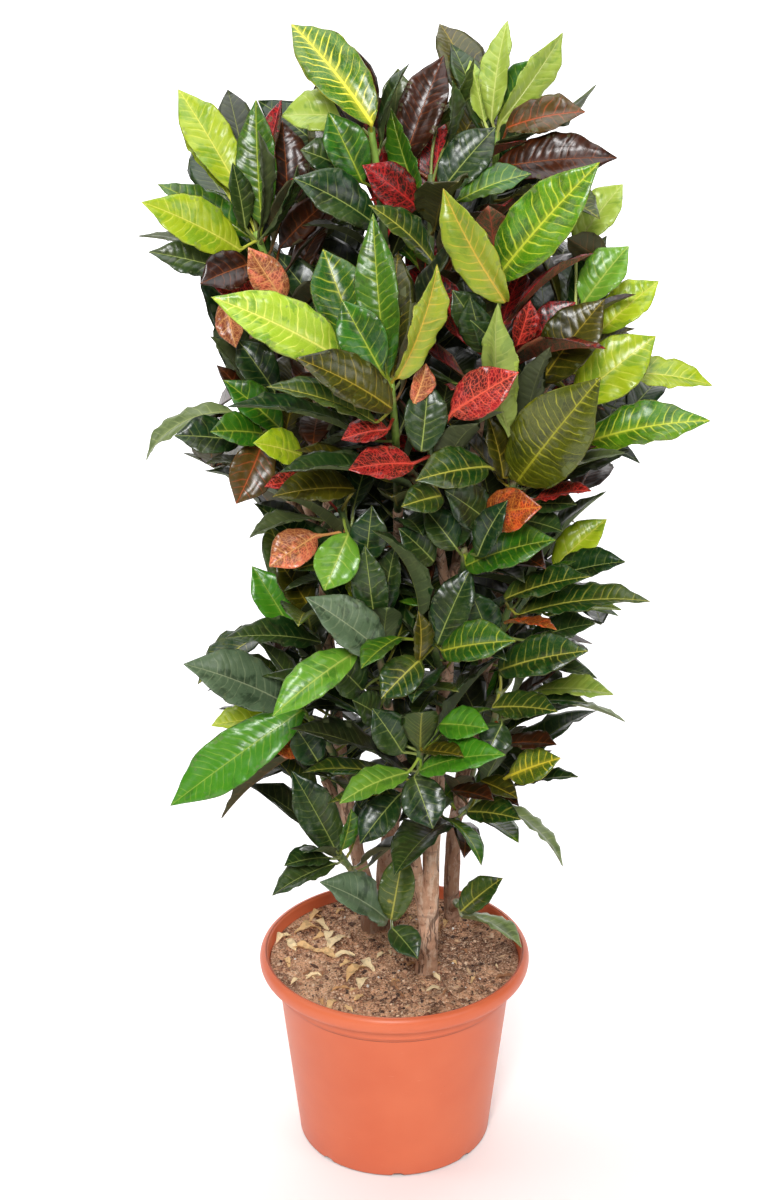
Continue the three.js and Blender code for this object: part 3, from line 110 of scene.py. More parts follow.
# Each shoot leaves its trunk at the start of its path. From the point "green" on it is a leafy stem, and
# from the point "young" on its tip is lime. A leaf is its colour, the foot and the tip of its blade, its
# width in mm, and how far it is rolled about its length and bent along it, in degrees.
shoots = [
    dict(name="top_left", trunk="trunk_left", young=3, green=2, fillers=3,
         path=[[330, 470, 0], [318, 400, 2], [300, 340, 8], [276, 285, 16], [256, 232, 24]], leaves=[
             ["lime", [240, 250, 45], [141, 202, 85], 46, 25, 30],
             ["green", [262, 225, 30], [256, 99, 5], 37, -15, 20],
             ["lime", [240, 192, 12], [178, 89, -35], 42, 15, 20],
             ["lime", [226, 190, -5], [182, 112, -55], 34, 30, 15],
             ["green", [250, 238, 10], [157, 184, -15], 38, 40, 20],
             ["grey", [262, 225, 50], [258, 130, 40], 34, 68, 15],
             ["dark", [245, 228, 38], [232, 162, 38], 24, 30, 15],
             ["grey", [236, 262, 25], [137, 236, 30], 36, 80, 25],
             ["dark", [240, 274, 50], [148, 252, 60], 34, 30, 20],
             ["maroon", [250, 264, 62], [200, 284, 90], 38, 20, 25],
             ["maroon", [288, 205, 5], [282, 120, -15], 42, 10, 20],
             ["salmon", [284, 302, 75], [248, 247, 88], 32, 0, 30],
             ["red", [262, 302, 50], [213, 286, 70], 28, 20, 20],
             ["salmon", [226, 300, 55], [236, 348, 75], 26, 10, 30],
             ["dark", [264, 236, 55], [298, 165, 62], 30, 75, 20]]),
    dict(name="top_middle_left", trunk="trunk_middle", young=4, green=3, fillers=3,
         path=[[385, 420, -22], [383, 360, -12], [386, 300, 2], [385, 245, 22], [378, 180, 32],
               [371, 128, 36]], leaves=[
             ["limevein", [372, 124, 52], [291, 24, 0], 52, 22, 30],
             ["limepale", [352, 118, 10], [281, 116, 5], 46, 35, 25],
             ["lime", [366, 110, 5], [334, 68, -25], 40, 5, 20],
             ["green", [362, 182, 55], [328, 112, 48], 40, 10, 25],
             ["dark", [374, 224, 78], [292, 178, 100], 46, 30, 35],
             ["grey", [392, 132, -5], [398, 68, -20], 32, 20, 15],
             ["dark", [338, 165, 35], [300, 150, 40], 34, 30, 20]]),
    dict(name="top_middle", trunk="trunk_middle", green=2, fillers=3,
         path=[[392, 500, -34], [410, 400, -22], [426, 300, 10], [431, 235, 18], [431, 175, 8]], leaves=[
             ["maroon", [404, 162, 0], [444, 55, -35], 46, -12, 20],
             ["dark", [436, 128, -10], [474, 58, -20], 36, 72, 20],
             ["dark", [447, 142, 10], [452, 80, 0], 30, 60, 20],
             ["green", [421, 204, 45], [391, 108, 25], 34, -45, 15],
             ["crimson", [418, 208, 45], [362, 165, 62], 38, 20, 25],
             ["dark", [442, 190, 40], [496, 127, 28], 42, -20, 20],
             ["green", [460, 200, 55], [532, 174, 62], 38, -50, 25],
             ["darkvein", [434, 264, 85], [368, 205, 108], 36, 48, 30]]),
    dict(name="top_right", trunk="trunk_right", young=4, green=3, fillers=3,
         path=[[515, 440, -15], [510, 370, -20], [498, 310, -20], [490, 255, -14], [494, 190, -16],
               [497, 132, -22]], leaves=[
             ["limepale", [492, 122, -20], [508, 20, -60], 30, -30, 25],
             ["limepale", [484, 122, -25], [470, 60, -40], 30, 20, 15],
             ["limepale", [500, 122, -15], [563, 32, -35], 33, 30, 20],
             ["olivered", [507, 128, 5], [586, 112, 30], 40, -38, 30],
             ["grey", [500, 142, 0], [597, 84, 10], 34, 78, 25],
             ["maroon", [496, 168, 18], [618, 158, 34], 46, -28, 25],
             ["green", [500, 112, -40], [537, 60, -70], 34, 0, 20]]),
    dict(name="upper_right", trunk="trunk_front", young=3, green=2, fillers=3,
         path=[[456, 566, 52], [470, 480, 58], [480, 420, 78], [492, 350, 102], [500, 285, 112]], leaves=[
             ["hero", [497, 278, 130], [600, 162, 158], 54, -14, 30],
             ["limeorange", [507, 303, 150], [443, 188, 140], 42, -25, 30],
             ["red", [517, 345, 112], [530, 300, 110], 26, 30, 20],
             ["crimson", [458, 336, 98], [431, 270, 92], 30, 30, 25],
             ["dark", [478, 330, 110], [452, 290, 118], 34, 15, 20],
             ["dark", [486, 352, 112], [470, 296, 122], 34, -20, 20],
             ["dark", [505, 355, 105], [470, 320, 130], 32, 30, 20]]),
    dict(name="right", trunk="trunk_right", young=3, green=2, fillers=3,
         path=[[515, 440, -15], [526, 420, 12], [545, 385, 48], [562, 352, 62], [577, 315, 64]], leaves=[
             ["limepale", [576, 245, 40], [623, 184, 18], 38, -20, 20],
             ["fresh", [584, 303, 72], [629, 246, 62], 42, -25, 20],
             ["lime", [600, 332, 62], [659, 281, 50], 40, -25, 20],
             ["olive", [541, 382, 108], [605, 299, 104], 50, -18, 25],
             ["crimson", [533, 340, 80], [576, 302, 78], 32, -20, 20],
             ["lime", [576, 400, 88], [656, 336, 84], 52, -10, 25],
             ["lime", [612, 374, 50], [713, 386, 58], 40, -48, 30],
             ["maroon", [606, 262, 60], [567, 238, 76], 32, 150, 15]]),
    dict(name="middle_right", trunk="trunk_front", green=2, fillers=3,
         path=[[456, 566, 52], [482, 540, 66], [502, 520, 88], [512, 490, 104], [520, 458, 114]], leaves=[
             ["oliveleaf", [517, 482, 118], [601, 377, 186], 68, -6, 30],
             ["hero", [577, 446, 78], [711, 421, 96], 46, -34, 35],
             ["grey", [530, 487, 118], [626, 453, 138], 40, -70, 25],
             ["red", [535, 500, 124], [592, 491, 148], 30, -62, 20],
             ["orange", [487, 514, 135], [542, 507, 168], 40, -8, 30],
             ["olive", [503, 478, 128], [487, 415, 130], 34, 48, 20],
             ["limepale", [509, 430, 138], [498, 303, 165], 36, 150, -45],
             ["darkvein", [487, 467, 145], [415, 481, 184], 42, 25, 30],
             ["dark", [489, 522, 128], [444, 490, 152], 40, 15, 25],
             ["dark", [530, 505, 105], [577, 505, 125], 30, -40, 20],
             ["dark", [522, 520, 102], [563, 532, 128], 30, -40, 20]]),
    dict(name="middle_left", trunk="trunk_middle", young=3, green=2, fillers=3,
         path=[[397, 560, -40], [398, 540, 20], [398, 510, 78], [396, 445, 128], [391, 380, 158]], leaves=[
             ["limehero", [342, 360, 182], [211, 297, 205], 50, 20, 35],
             ["greenvein", [356, 342, 160], [323, 249, 140], 50, 5, 30],
             ["green", [380, 369, 192], [342, 300, 182], 42, 0, 20],
             ["green", [387, 375, 170], [373, 213, 140], 38, -12, 25],
             ["limeorange", [397, 378, 180], [437, 264, 168], 38, 45, 30],
             ["olive", [392, 409, 195], [295, 358, 222], 46, 30, 30],
             ["darkvein", [376, 424, 180], [266, 387, 205], 40, 55, 30],
             ["red", [388, 430, 180], [341, 440, 205], 30, 35, 25]]),
    dict(name="middle", trunk="trunk_front", green=2, fillers=3,
         path=[[450, 600, 47], [444, 575, 66], [438, 545, 90], [434, 490, 122], [430, 440, 142]], leaves=[
             ["redhero", [452, 413, 165], [519, 372, 188], 40, -15, 25],
             ["dark", [421, 452, 165], [428, 380, 150], 38, 10, 25],
             ["salmon", [414, 402, 158], [426, 363, 150], 26, 40, 30],
             ["red", [412, 464, 170], [348, 470, 200], 34, 30, 30],
             ["darkvein", [441, 496, 158], [401, 507, 186], 30, 20, 25],
             ["dark", [434, 562, 108], [398, 528, 120], 34, 20, 25],
             ["dark", [446, 545, 112], [470, 505, 116], 34, -15, 25]]),
    dict(name="left", trunk="trunk_left", young=3, green=2, fillers=4,
         path=[[325, 600, -10], [322, 550, 8], [305, 500, 34], [285, 460, 46], [268, 422, 50]], leaves=[
             ["dark", [240, 441, 60], [174, 436, 78], 38, 25, 25],
             ["silver", [233, 413, 52], [146, 461, 66], 34, 62, 80],
             ["green", [263, 434, 80], [210, 432, 112], 36, 30, 25],
             ["lime", [302, 456, 92], [253, 443, 125], 36, 30, 25],
             ["green", [281, 430, 72], [223, 380, 72], 36, 25, 20],
             ["dark", [275, 392, 60], [237, 339, 48], 36, 10, 20],
             ["grey", [243, 380, 35], [210, 336, 20], 30, 62, 20],
             ["olivered", [263, 442, 84], [236, 504, 112], 42, -10, 30]]),
    dict(name="middle_left_lower", trunk="trunk_middle", green=2, fillers=3,
         path=[[399, 620, -44], [385, 600, 10], [366, 570, 62], [352, 540, 86], [340, 508, 94]], leaves=[
             ["olive", [355, 489, 118], [272, 497, 152], 38, 38, 30],
             ["red", [315, 482, 98], [264, 487, 118], 26, 45, 20],
             ["grey", [310, 518, 98], [249, 538, 122], 34, 66, 25],
             ["salmon", [316, 536, 112], [269, 567, 136], 38, 15, 25],
             ["fresh", [348, 535, 128], [324, 591, 152], 42, 0, 25],
             ["dark", [366, 560, 115], [372, 505, 118], 36, 0, 20]]),
    dict(name="lower_left", trunk="trunk_middle", green=2, fillers=3,
         path=[[400, 760, -52], [392, 735, 20], [388, 705, 74], [382, 670, 98], [374, 630, 110]], leaves=[
             ["bluegreenSheen", [381, 652, 132], [305, 597, 165], 48, 20, 30],
             ["fresh", [356, 652, 140], [272, 717, 182], 40, 20, 35],
             ["dark", [375, 622, 118], [365, 545, 115], 36, 0, 25],
             ["dark", [384, 614, 110], [396, 545, 106], 32, -30, 20],
             ["lime", [358, 614, 106], [341, 570, 106], 28, 65, 20],
             ["dark", [362, 690, 118], [330, 660, 140], 40, 20, 20],
             ["dark", [378, 715, 112], [352, 700, 140], 34, 20, 20]]),
    dict(name="left_low", trunk="trunk_left", green=2, fillers=3,
         path=[[338, 730, -23], [334, 700, 10], [326, 672, 36], [318, 645, 50], [310, 618, 54]], leaves=[
             ["dark", [322, 643, 70], [224, 639, 92], 42, 52, 30],
             ["olive", [311, 610, 68], [275, 557, 64], 34, 20, 20],
             ["greenbright", [290, 628, 48], [252, 566, 36], 36, 10, 20]]),
    dict(name="left_bottom", trunk="trunk_left", young=3, green=2, fillers=3,
         path=[[344, 790, -30], [342, 775, 10], [334, 755, 44], [322, 735, 62], [310, 718, 70]], leaves=[
             ["bluegreenSheen", [284, 703, 84], [183, 664, 128], 56, 26, 30],
             ["greenbright", [304, 709, 98], [170, 806, 142], 56, 14, 35],
             ["lime", [271, 721, 58], [211, 726, 72], 38, 50, 25],
             ["maroon", [297, 752, 70], [221, 819, 98], 42, 100, 25],
             ["orange", [300, 748, 80], [272, 750, 96], 26, 20, 20],
             ["dark", [318, 762, 82], [292, 722, 96], 36, 10, 20]]),
    dict(name="low_left", trunk="trunk_left", green=1, fillers=2,
         path=[[366, 884, -50], [358, 876, 0], [350, 868, 34], [339, 852, 56]], leaves=[
             ["dark", [337, 853, 68], [291, 770, 60], 42, 10, 25],
             ["green", [341, 850, 74], [351, 808, 76], 26, 50, 20],
             ["dark", [328, 858, 76], [284, 866, 106], 32, 45, 25],
             ["dark", [335, 864, 78], [272, 896, 112], 36, 45, 30]]),
    dict(name="sucker_left", trunk="trunk_middle", green=1, fillers=0,
         path=[[386, 915, -62], [388, 912, -10], [390, 916, 40], [391, 914, 70]], leaves=[
             ["bluegreenSheen", [387, 920, 90], [319, 882, 130], 48, 38, 30],
             ["goldspot", [391, 920, 92], [404, 849, 84], 36, 0, 25],
             ["dark", [392, 928, 96], [418, 959, 124], 32, -20, 25]]),
    dict(name="sucker_right", trunk="trunk_right", green=1, fillers=1,
         path=[[452, 908, -70], [456, 902, -40], [458, 905, -5], [459, 905, 20]], leaves=[
             ["darkvein", [461, 912, 34], [503, 878, 38], 34, -28, 20],
             ["silver", [462, 917, 36], [522, 948, 84], 34, -66, 40]]),
    dict(name="low_middle", trunk="trunk_front", green=2, fillers=3,
         path=[[434, 810, 32], [429, 800, 60], [424, 786, 88], [420, 764, 112], [420, 742, 124]], leaves=[
             ["fresh", [408, 773, 140], [339, 804, 172], 36, 42, 35],
             ["greenbright", [420, 771, 140], [506, 755, 178], 40, -40, 35],
             ["greenbright", [440, 724, 134], [489, 729, 160], 36, -28, 20],
             ["dark", [414, 777, 142], [433, 829, 172], 42, -5, 25],
             ["olive", [422, 752, 138], [464, 757, 164], 28, -60, 20],
             ["dark", [398, 796, 118], [360, 844, 144], 36, 18, 25],
             ["dark", [402, 752, 128], [372, 708, 138], 38, 12, 20]]),
    dict(name="centre_low", trunk="trunk_front", green=1, fillers=3,
         path=[[446, 680, 36], [440, 668, 74], [436, 655, 104], [433, 632, 120]], leaves=[
             ["dark", [437, 645, 134], [472, 566, 122], 38, -12, 25],
             ["green", [399, 638, 130], [361, 669, 158], 34, 52, 30],
             ["darkvein", [420, 660, 138], [381, 699, 166], 38, 14, 25],
             ["greenvein", [442, 651, 138], [516, 641, 172], 44, -28, 25],
             ["olive", [419, 660, 132], [418, 611, 130], 28, 50, 20]]),
    dict(name="centre_right", trunk="trunk_front", green=1, fillers=3,
         path=[[456, 566, 52], [462, 572, 76], [464, 566, 100], [464, 548, 112]], leaves=[
             ["green", [466, 566, 128], [556, 540, 164], 48, -34, 30],
             ["dark", [478, 556, 118], [508, 500, 120], 38, -14, 20],
             ["dark", [456, 548, 122], [424, 508, 136], 36, 20, 20]]),
    dict(name="right_low", trunk="trunk_right", green=2, fillers=3,
         path=[[482, 675, -38], [486, 665, 10], [494, 650, 54], [502, 630, 86], [510, 604, 104]], leaves=[
             ["darkvein", [518, 616, 116], [651, 602, 140], 42, -52, 35],
             ["darkvein", [504, 600, 120], [591, 577, 148], 36, -48, 25],
             ["dark", [530, 641, 94], [596, 624, 112], 36, -45, 25],
             ["orange", [505, 622, 124], [557, 630, 148], 26, -60, 20],
             ["dark", [490, 640, 110], [470, 590, 118], 36, 10, 20]]),
    dict(name="right_edge", trunk="trunk_right", young=3, green=2, fillers=3,
         path=[[496, 590, -32], [508, 610, 0], [524, 612, 30], [538, 596, 50], [548, 572, 58]], leaves=[
             ["lime", [554, 568, 60], [607, 519, 50], 36, -20, 20],
             ["dark", [552, 578, 74], [626, 562, 92], 38, -42, 25],
             ["limepale", [548, 616, 74], [622, 610, 90], 34, -68, 25]]),
    dict(name="right_bottom", trunk="trunk_right", green=2, fillers=3,
         path=[[466, 760, -52], [476, 750, 0], [488, 735, 54], [496, 714, 88], [500, 690, 106]], leaves=[
             ["darkvein", [499, 671, 126], [589, 651, 164], 44, -28, 30],
             ["limepale", [538, 690, 80], [614, 695, 104], 36, -56, 25],
             ["dark", [532, 702, 92], [589, 704, 116], 32, -60, 20],
             ["silver", [542, 702, 70], [626, 722, 92], 30, -80, 30],
             ["darkvein", [492, 708, 128], [558, 712, 160], 36, -42, 25],
             ["maroon", [506, 744, 108], [557, 745, 136], 30, -55, 20],
             ["dark", [502, 724, 132], [488, 752, 146], 32, 0, 20]]),
    dict(name="low_right", trunk="trunk_right", green=1, fillers=3,
         path=[[456, 815, -64], [462, 812, -10], [470, 806, 40], [480, 788, 76]], leaves=[
             ["yellowvein", [510, 776, 112], [561, 758, 136], 34, -20, 20],
             ["dark", [512, 786, 92], [579, 777, 116], 30, -64, 20],
             ["darkvein", [468, 812, 86], [521, 820, 116], 36, -42, 25],
             ["silver", [497, 806, 84], [563, 867, 110], 32, -68, 50],
             ["maroon", [452, 790, 104], [494, 801, 134], 30, -55, 20],
             ["olive", [480, 781, 98], [518, 799, 122], 28, -42, 20]]),
]

# shoots of the back: name, trunk, start as a share of the trunk, turn in degrees, reach and height in mm,
# number of leaves
backRows = [
    ["back_low_right", "trunk_right", 0.3, 40, 118, 425, 7],
    ["back_low_middle", "trunk_middle", 0.3, 95, 125, 440, 7],
    ["back_low_left", "trunk_left", 0.33, 150, 118, 470, 7],
    ["back_mid_right", "trunk_right", 0.55, 28, 135, 590, 7],
    ["back_mid_middle", "trunk_middle", 0.52, 78, 150, 620, 8],
    ["back_mid_left", "trunk_left", 0.58, 135, 140, 640, 8],
    ["back_upper_right", "trunk_right", 0.8, 50, 150, 790, 8],
    ["back_upper_middle", "trunk_middle", 0.78, 105, 155, 800, 8],
    ["back_upper_left", "trunk_left", 0.85, 160, 150, 780, 7],
    ["back_top_right", "trunk_right", 0.97, 68, 120, 930, 8],
    ["back_top_left", "trunk_middle", 0.95, 125, 125, 940, 8],
]
backKeys = ["name", "trunk", "start", "turn", "reach", "height", "fillers"]
backShoots = [dict(zip(backKeys, row)) for row in backRows]

# the outline of the bush in the picture as [down, left, right], and how far it reaches from the pot's axis as
# [height, reach] in mm
bushOutline = [[20, 290, 510], [60, 215, 565], [110, 180, 585], [165, 160, 615], [215, 142, 610],
               [255, 155, 628], [300, 205, 655], [350, 212, 690], [400, 190, 705], [450, 160, 690],
               [500, 240, 600], [560, 262, 608], [600, 250, 640], [650, 195, 610], [700, 195, 610],
               [760, 205, 560], [800, 245, 540], [850, 290, 530], [900, 300, 500]]
bushDepth = [[250, 95], [400, 190], [600, 225], [800, 255], [1000, 235], [1120, 150]]


# trunks and shoots as lines in space, the same rule as the frame's
level = dict(soil=194, buried=70, collar=7)
stemSizes = dict(thick=5.2, thin=3.6)


def lineLength(line):
    return float(size(np.diff(line, axis=0)).sum())


# the point that lies so many mm along a line of straight spans
def pointAlong(line, along):
    spans = size(np.diff(line, axis=0))
    left = along
    for i, span in enumerate(spans):
        if left <= span or i == len(spans) - 1:
            return line[i] + (line[i + 1] - line[i]) * (left / span)
        left -= span


# how far along a line lies the point nearest to a place
def nearest(line, place):
    spans = np.diff(line, axis=0)
    lengths = size(spans)
    share = np.clip(dot(place - line[:-1], spans) / lengths ** 2, 0, 1)
    distance = size(place - (line[:-1] + spans * share[:, None]))
    i = int(np.argmin(distance))
    return float(lengths[:i].sum() + share[i] * lengths[i])


# a smooth curve through the points of a line: each span is a cubic with the slopes of its neighbours
def smoothLine(line, steps):
    line = np.asarray(line, float)
    slopes = np.gradient(line, axis=0)
    t = (np.arange(steps) / steps)[None, :, None]
    a, b, p, q = line[:-1, None], line[1:, None], slopes[:-1, None], slopes[1:, None]
    curve = ((2 * t**3 - 3 * t**2 + 1) * a + (t**3 - 2 * t**2 + t) * p
             + (3 * t**2 - 2 * t**3) * b + (t**3 - t**2) * q)
    return np.vstack([curve.reshape(-1, 3), line[-1:]])


# a trunk goes on straight down from where it leaves the soil
def layTrunk(trunk):
    points = np.array([seen(p) for p in trunk["path"]])
    points[0, 2] = level["soil"] + level["collar"]
    foot = points[0] * [1, 1, 0] + [0, 0, level["soil"] - level["buried"]]
    return np.vstack([foot, points])


def layShoot(shoot, index):
    return finishShoot(dict(shoot, index=index, line=np.array([seen(p) for p in shoot["path"]])))


# a shoot of the back leaves its trunk at a share of its length, and sags a little on its way to the crown
def layBackShoot(shoot, index):
    trunkLine = trunkLines[shoot["trunk"]]
    start = pointAlong(trunkLine, shoot["start"] * lineLength(trunkLine))
    turn = math.radians(shoot["turn"])
    crown = np.array([math.cos(turn) * shoot["reach"], math.sin(turn) * shoot["reach"], shoot["height"]])
    run = crown - start
    elbow = start + run * 0.45 + [0, 0, -0.1 * size(run)]
    green = start + run * 0.72 + [0, 0, -0.07 * size(run)]
    line = np.array([start, elbow, green, crown])
    return finishShoot(dict(shoot, index=index, line=line, green=1, leaves=[]))


# the radius falls evenly along the line, and leaves stand on the green part of it
def finishShoot(shoot):
    line, green = shoot["line"], shoot["green"]
    young = shoot.get("young")
    last = young or len(line) - 1
    leafy = line[green:]
    thick, thin = stemSizes["thick"], stemSizes["thin"]
    radii = thick + (thin - thick) * np.arange(len(line)) / (len(line) - 1)
    youngFrom = lineLength(line[green:last + 1]) if young else math.inf
    return dict(shoot, radii=radii, youngAt=last, leafy=leafy, leafyLength=lineLength(leafy),
                youngFrom=youngFrom)


trunkLines = {name: layTrunk(trunk) for name, trunk in trunks.items()}
allShoots = [layShoot(s, i) for i, s in enumerate(shoots)]
allShoots += [layBackShoot(s, i + len(shoots)) for i, s in enumerate(backShoots)]

# the shape of a blade, and what keeps it clear of the others: heel and tip are powers of the outline, fold is
# in degrees, and slide, offJoint, shortLeaf, clearance and grow are mm
blade = dict(heel=0.55, tip=0.2, fold=13, foldSpread=9, wave=0.022, waves=1.5, petiole=1.4, slide=4, slides=4,
             offJoint=5, shortLeaf=75, clearance=1.9, grow=1.5, flattest=0.05, longStations=[0.2, 0.5, 0.8],
             shortStations=[0.3, 0.7])


# half the width, fullest a little below the middle and drawn out to the tip
def bladeHalfWidth(leaf, station):
    return leaf["width"] / 2 * np.abs(np.sin(np.pi * station)) ** (blade["heel"] + blade["tip"] * station)


# an arc from foot to tip, folded up along the midrib and waved more the nearer to the edge
def bladePoint(leaf, side, station, lift):
    half = leaf["bend"] / 2
    turn = (station - 0.5) * leaf["bend"]
    along = leaf["length"] * (0.5 + np.sin(turn) / (2 * math.sin(half)))
    rise = leaf["length"] * (np.cos(turn) - math.cos(half)) / (2 * math.sin(half))
    inner = (station > 0) & (station < 1)
    reach = np.abs(side) * np.where(inner, bladeHalfWidth(leaf, np.clip(station, 0, 1)), 0)
    wave = side * side * leaf["wave"] * np.sin(2 * np.pi * blade["waves"] * station + leaf["phase"] * side)
    out = reach * math.sin(leaf["fold"]) + wave * np.minimum(1, 4 * (1 - station)) + lift
    out = np.where(station <= 0, lift, out)
    normal = leaf["axis"] * np.sin(turn)[..., None] + leaf["face"] * np.cos(turn)[..., None]
    point = leaf["foot"] + leaf["axis"] * along[..., None] + leaf["face"] * rise[..., None]
    point = point + leaf["across"] * (np.sign(side) * reach * math.cos(leaf["fold"]))[..., None]
    return point + normal * out[..., None]


# a direction square to one axis, carried over to another
def carried(start, end, direction):
    return direction - (start + end) * (dot(end, direction) / (1 + dot(start, end)))


def makeLeaf(colour, foot, tip, width, towards, roll, bend, draws):
    axis = unit(tip - foot)
    plainFace = unit(towards - axis * dot(towards, axis))
    face = plainFace * math.cos(roll) + cross(axis, plainFace) * math.sin(roll)
    length = float(size(tip - foot))
    return dict(colour=colour, foot=foot, axis=axis, face=face, across=cross(axis, face), length=length,
                width=width, bend=blade["flattest"] if abs(bend) < blade["flattest"] else bend,
                fold=math.radians(blade["fold"] + blade["foldSpread"] * draws[0]),
                wave=blade["wave"] * length * (0.5 + draws[1]), phase=2 * math.pi * draws[2], draws=draws)


# the petiole starts on the stem, a little below the blade's foot
def seatLeaf(leaf, shoot, index):
    slide = blade["slide"] * (1 + index % blade["slides"])
    place = nearest(shoot["leafy"], leaf["foot"]) - slide
    kept = max(blade["slide"], min(shoot["leafyLength"] - blade["slide"], place))
    leaf["young"] = kept > shoot["youngFrom"]
    if leaf["young"]:
        kept = max(kept, shoot["youngFrom"] + blade["offJoint"])
    else:
        kept = min(kept, shoot["youngFrom"] - 2 * blade["offJoint"])
    leaf["root"] = pointAlong(shoot["leafy"], kept)
    leaf["shoot"] = shoot["name"]
    return leaf


# rows of left edge, middle and right edge: two across the petiole, one at each station of the blade, and the
# tip; grown outwards by grow and moved off the middle surface by lift
def sectionsOf(leaf, stations, grow, lift):
    wide = dict(leaf, width=leaf["width"] + 2 * grow, length=leaf["length"] + grow)
    stalk = unit(leaf["foot"] - leaf["root"])
    rows = []
    for centre, direction in ((leaf["root"], stalk), (leaf["foot"], unit(stalk + leaf["axis"]))):
        across = carried(leaf["axis"], direction, leaf["across"])
        mid = centre + carried(leaf["axis"], direction, leaf["face"]) * lift
        rows.append([mid + across * (s * (blade["petiole"] + grow)) for s in (-1, 0, 1)])
    side, station = np.meshgrid([-1.0, 0.0, 1.0], stations)
    end = bladePoint(wide, np.zeros(1), np.ones(1), lift)[0]
    return np.concatenate([rows, bladePoint(wide, side, station, lift), [[end, end, end]]])


# triangles and edges of a leaf's middle surface, and of the thin slab that it keeps free
def sheetOf(rows):
    left, mid, right = rows[:, 0], rows[:, 1], rows[:, 2]
    triangles = np.concatenate([np.stack(t, axis=1) for t in (
        (left[:-1], mid[:-1], mid[1:]), (left[:-1], mid[1:], left[1:]),
        (mid[:-1], right[:-1], mid[1:]), (right[:-1], right[1:], mid[1:]))])
    edges = np.concatenate([np.stack(e, axis=1) for e in (
        (left, mid), (mid, right), (left[:-1], left[1:]), (mid[:-1], mid[1:]), (right[:-1], right[1:]),
        (left[:-1], mid[1:]), (right[:-1], mid[1:]))])
    return triangles, edges


def slabOf(above, below):
    top, bottom = sheetOf(above), sheetOf(below)
    walls, rims = [], []
    for s in (0, 2):
        walls += [np.stack([above[:-1, s], below[:-1, s], above[1:, s]], axis=1),
                  np.stack([below[:-1, s], below[1:, s], above[1:, s]], axis=1)]
        rims.append(np.stack([above[:-1, s], below[:-1, s]], axis=1))
    return np.concatenate([top[0], bottom[0]] + walls), np.concatenate([top[1], bottom[1]] + rims)


def boxed(shape):
    ends = shape[1].reshape(-1, 3)
    return dict(triangles=shape[0], edges=shape[1], low=ends.min(axis=0), high=ends.max(axis=0))


def testShapes(leaf, stations):
    middle, above, below = (sectionsOf(leaf, stations, blade["grow"], side * blade["clearance"])
                            for side in (0, 1, -1))
    leaf["rows"] = middle
    for name, first in (("whole", 0), ("blade", 1)):
        leaf[name + "Sheet"] = boxed(sheetOf(middle[first:]))
        leaf[name + "Slab"] = boxed(slabOf(above[first:], below[first:]))
    return leaf


# which straight lines from p to q go through which triangles
def pierced(lines, triangles):
    start, ray = lines[:, None, 0], (lines[:, 1] - lines[:, 0])[:, None]
    corner = triangles[None, :, 0]
    ab, ac = triangles[None, :, 1] - corner, triangles[None, :, 2] - corner
    h = cross(ray, ac)
    det = dot(ab, h)
    flat = np.abs(det) < 1e-9
    det = np.where(flat, 1, det)
    s = start - corner
    u = dot(s, h) / det
    g = cross(s, ab)
    v = dot(ray, g) / det
    t = dot(ac, g) / det
    return ~flat & (u >= 0) & (u <= 1) & (v >= 0) & (u + v <= 1) & (t >= 0) & (t <= 1)


def meets(slab, sheet):
    if (slab["high"] < sheet["low"]).any() or (sheet["high"] < slab["low"]).any():
        return False
    return bool(pierced(sheet["edges"], slab["triangles"]).any()
                or pierced(slab["edges"], sheet["triangles"]).any())


# a stretch of stem as an obstacle: a square tube round it
def stemObstacle(start, end, radius, owner):
    along = unit(end - start)
    across = unit(cross(along, np.array([0.0, 1, 0] if abs(along[1]) < 0.9 else [1.0, 0, 0])))
    turn = np.pi / 2 * np.arange(5)[:, None]
    reach = (across * np.cos(turn) + cross(along, across) * np.sin(turn)) * radius * 1.25
    low, high = start + reach, end + reach
    triangles = np.concatenate([np.stack([low[:-1], low[1:], high[1:]], axis=1),
                                np.stack([low[:-1], high[1:], high[:-1]], axis=1)])
    edges = np.concatenate([np.stack(e, axis=1) for e in (
        (low[:-1], high[:-1]), (low[:-1], low[1:]), (high[:-1], high[1:]))])
    return dict(owner=owner, shape=boxed((triangles, edges)))


# trunks, limbs and stems that a leaf keeps clear of
obstacles = []
for name, line in trunkLines.items():
    thick, thin = trunks[name]["radius"]
    for i in range(1, len(line)):
        radius = thick + (thin - thick) * (i - 1) / (len(line) - 1)
        obstacles.append(stemObstacle(line[i - 1], line[i], radius, name))
for shoot in allShoots:
    for i in range(1, len(shoot["line"])):
        owner = shoot["name"] if i > shoot["green"] else "wood"
        obstacles.append(stemObstacle(shoot["line"][i - 1], shoot["line"][i], shoot["radii"][i - 1], owner))

# the leaves that have a place, and points that must stay visible from the eye
placed = []
marks = []


# the shapes whose boxes overlap a slab's box
def near(slab, shapes):
    lows = np.array([shape["low"] for shape in shapes])
    highs = np.array([shape["high"] for shape in shapes])
    apart = (slab["high"] < lows).any(axis=1) | (highs < slab["low"]).any(axis=1)
    return np.flatnonzero(~apart)


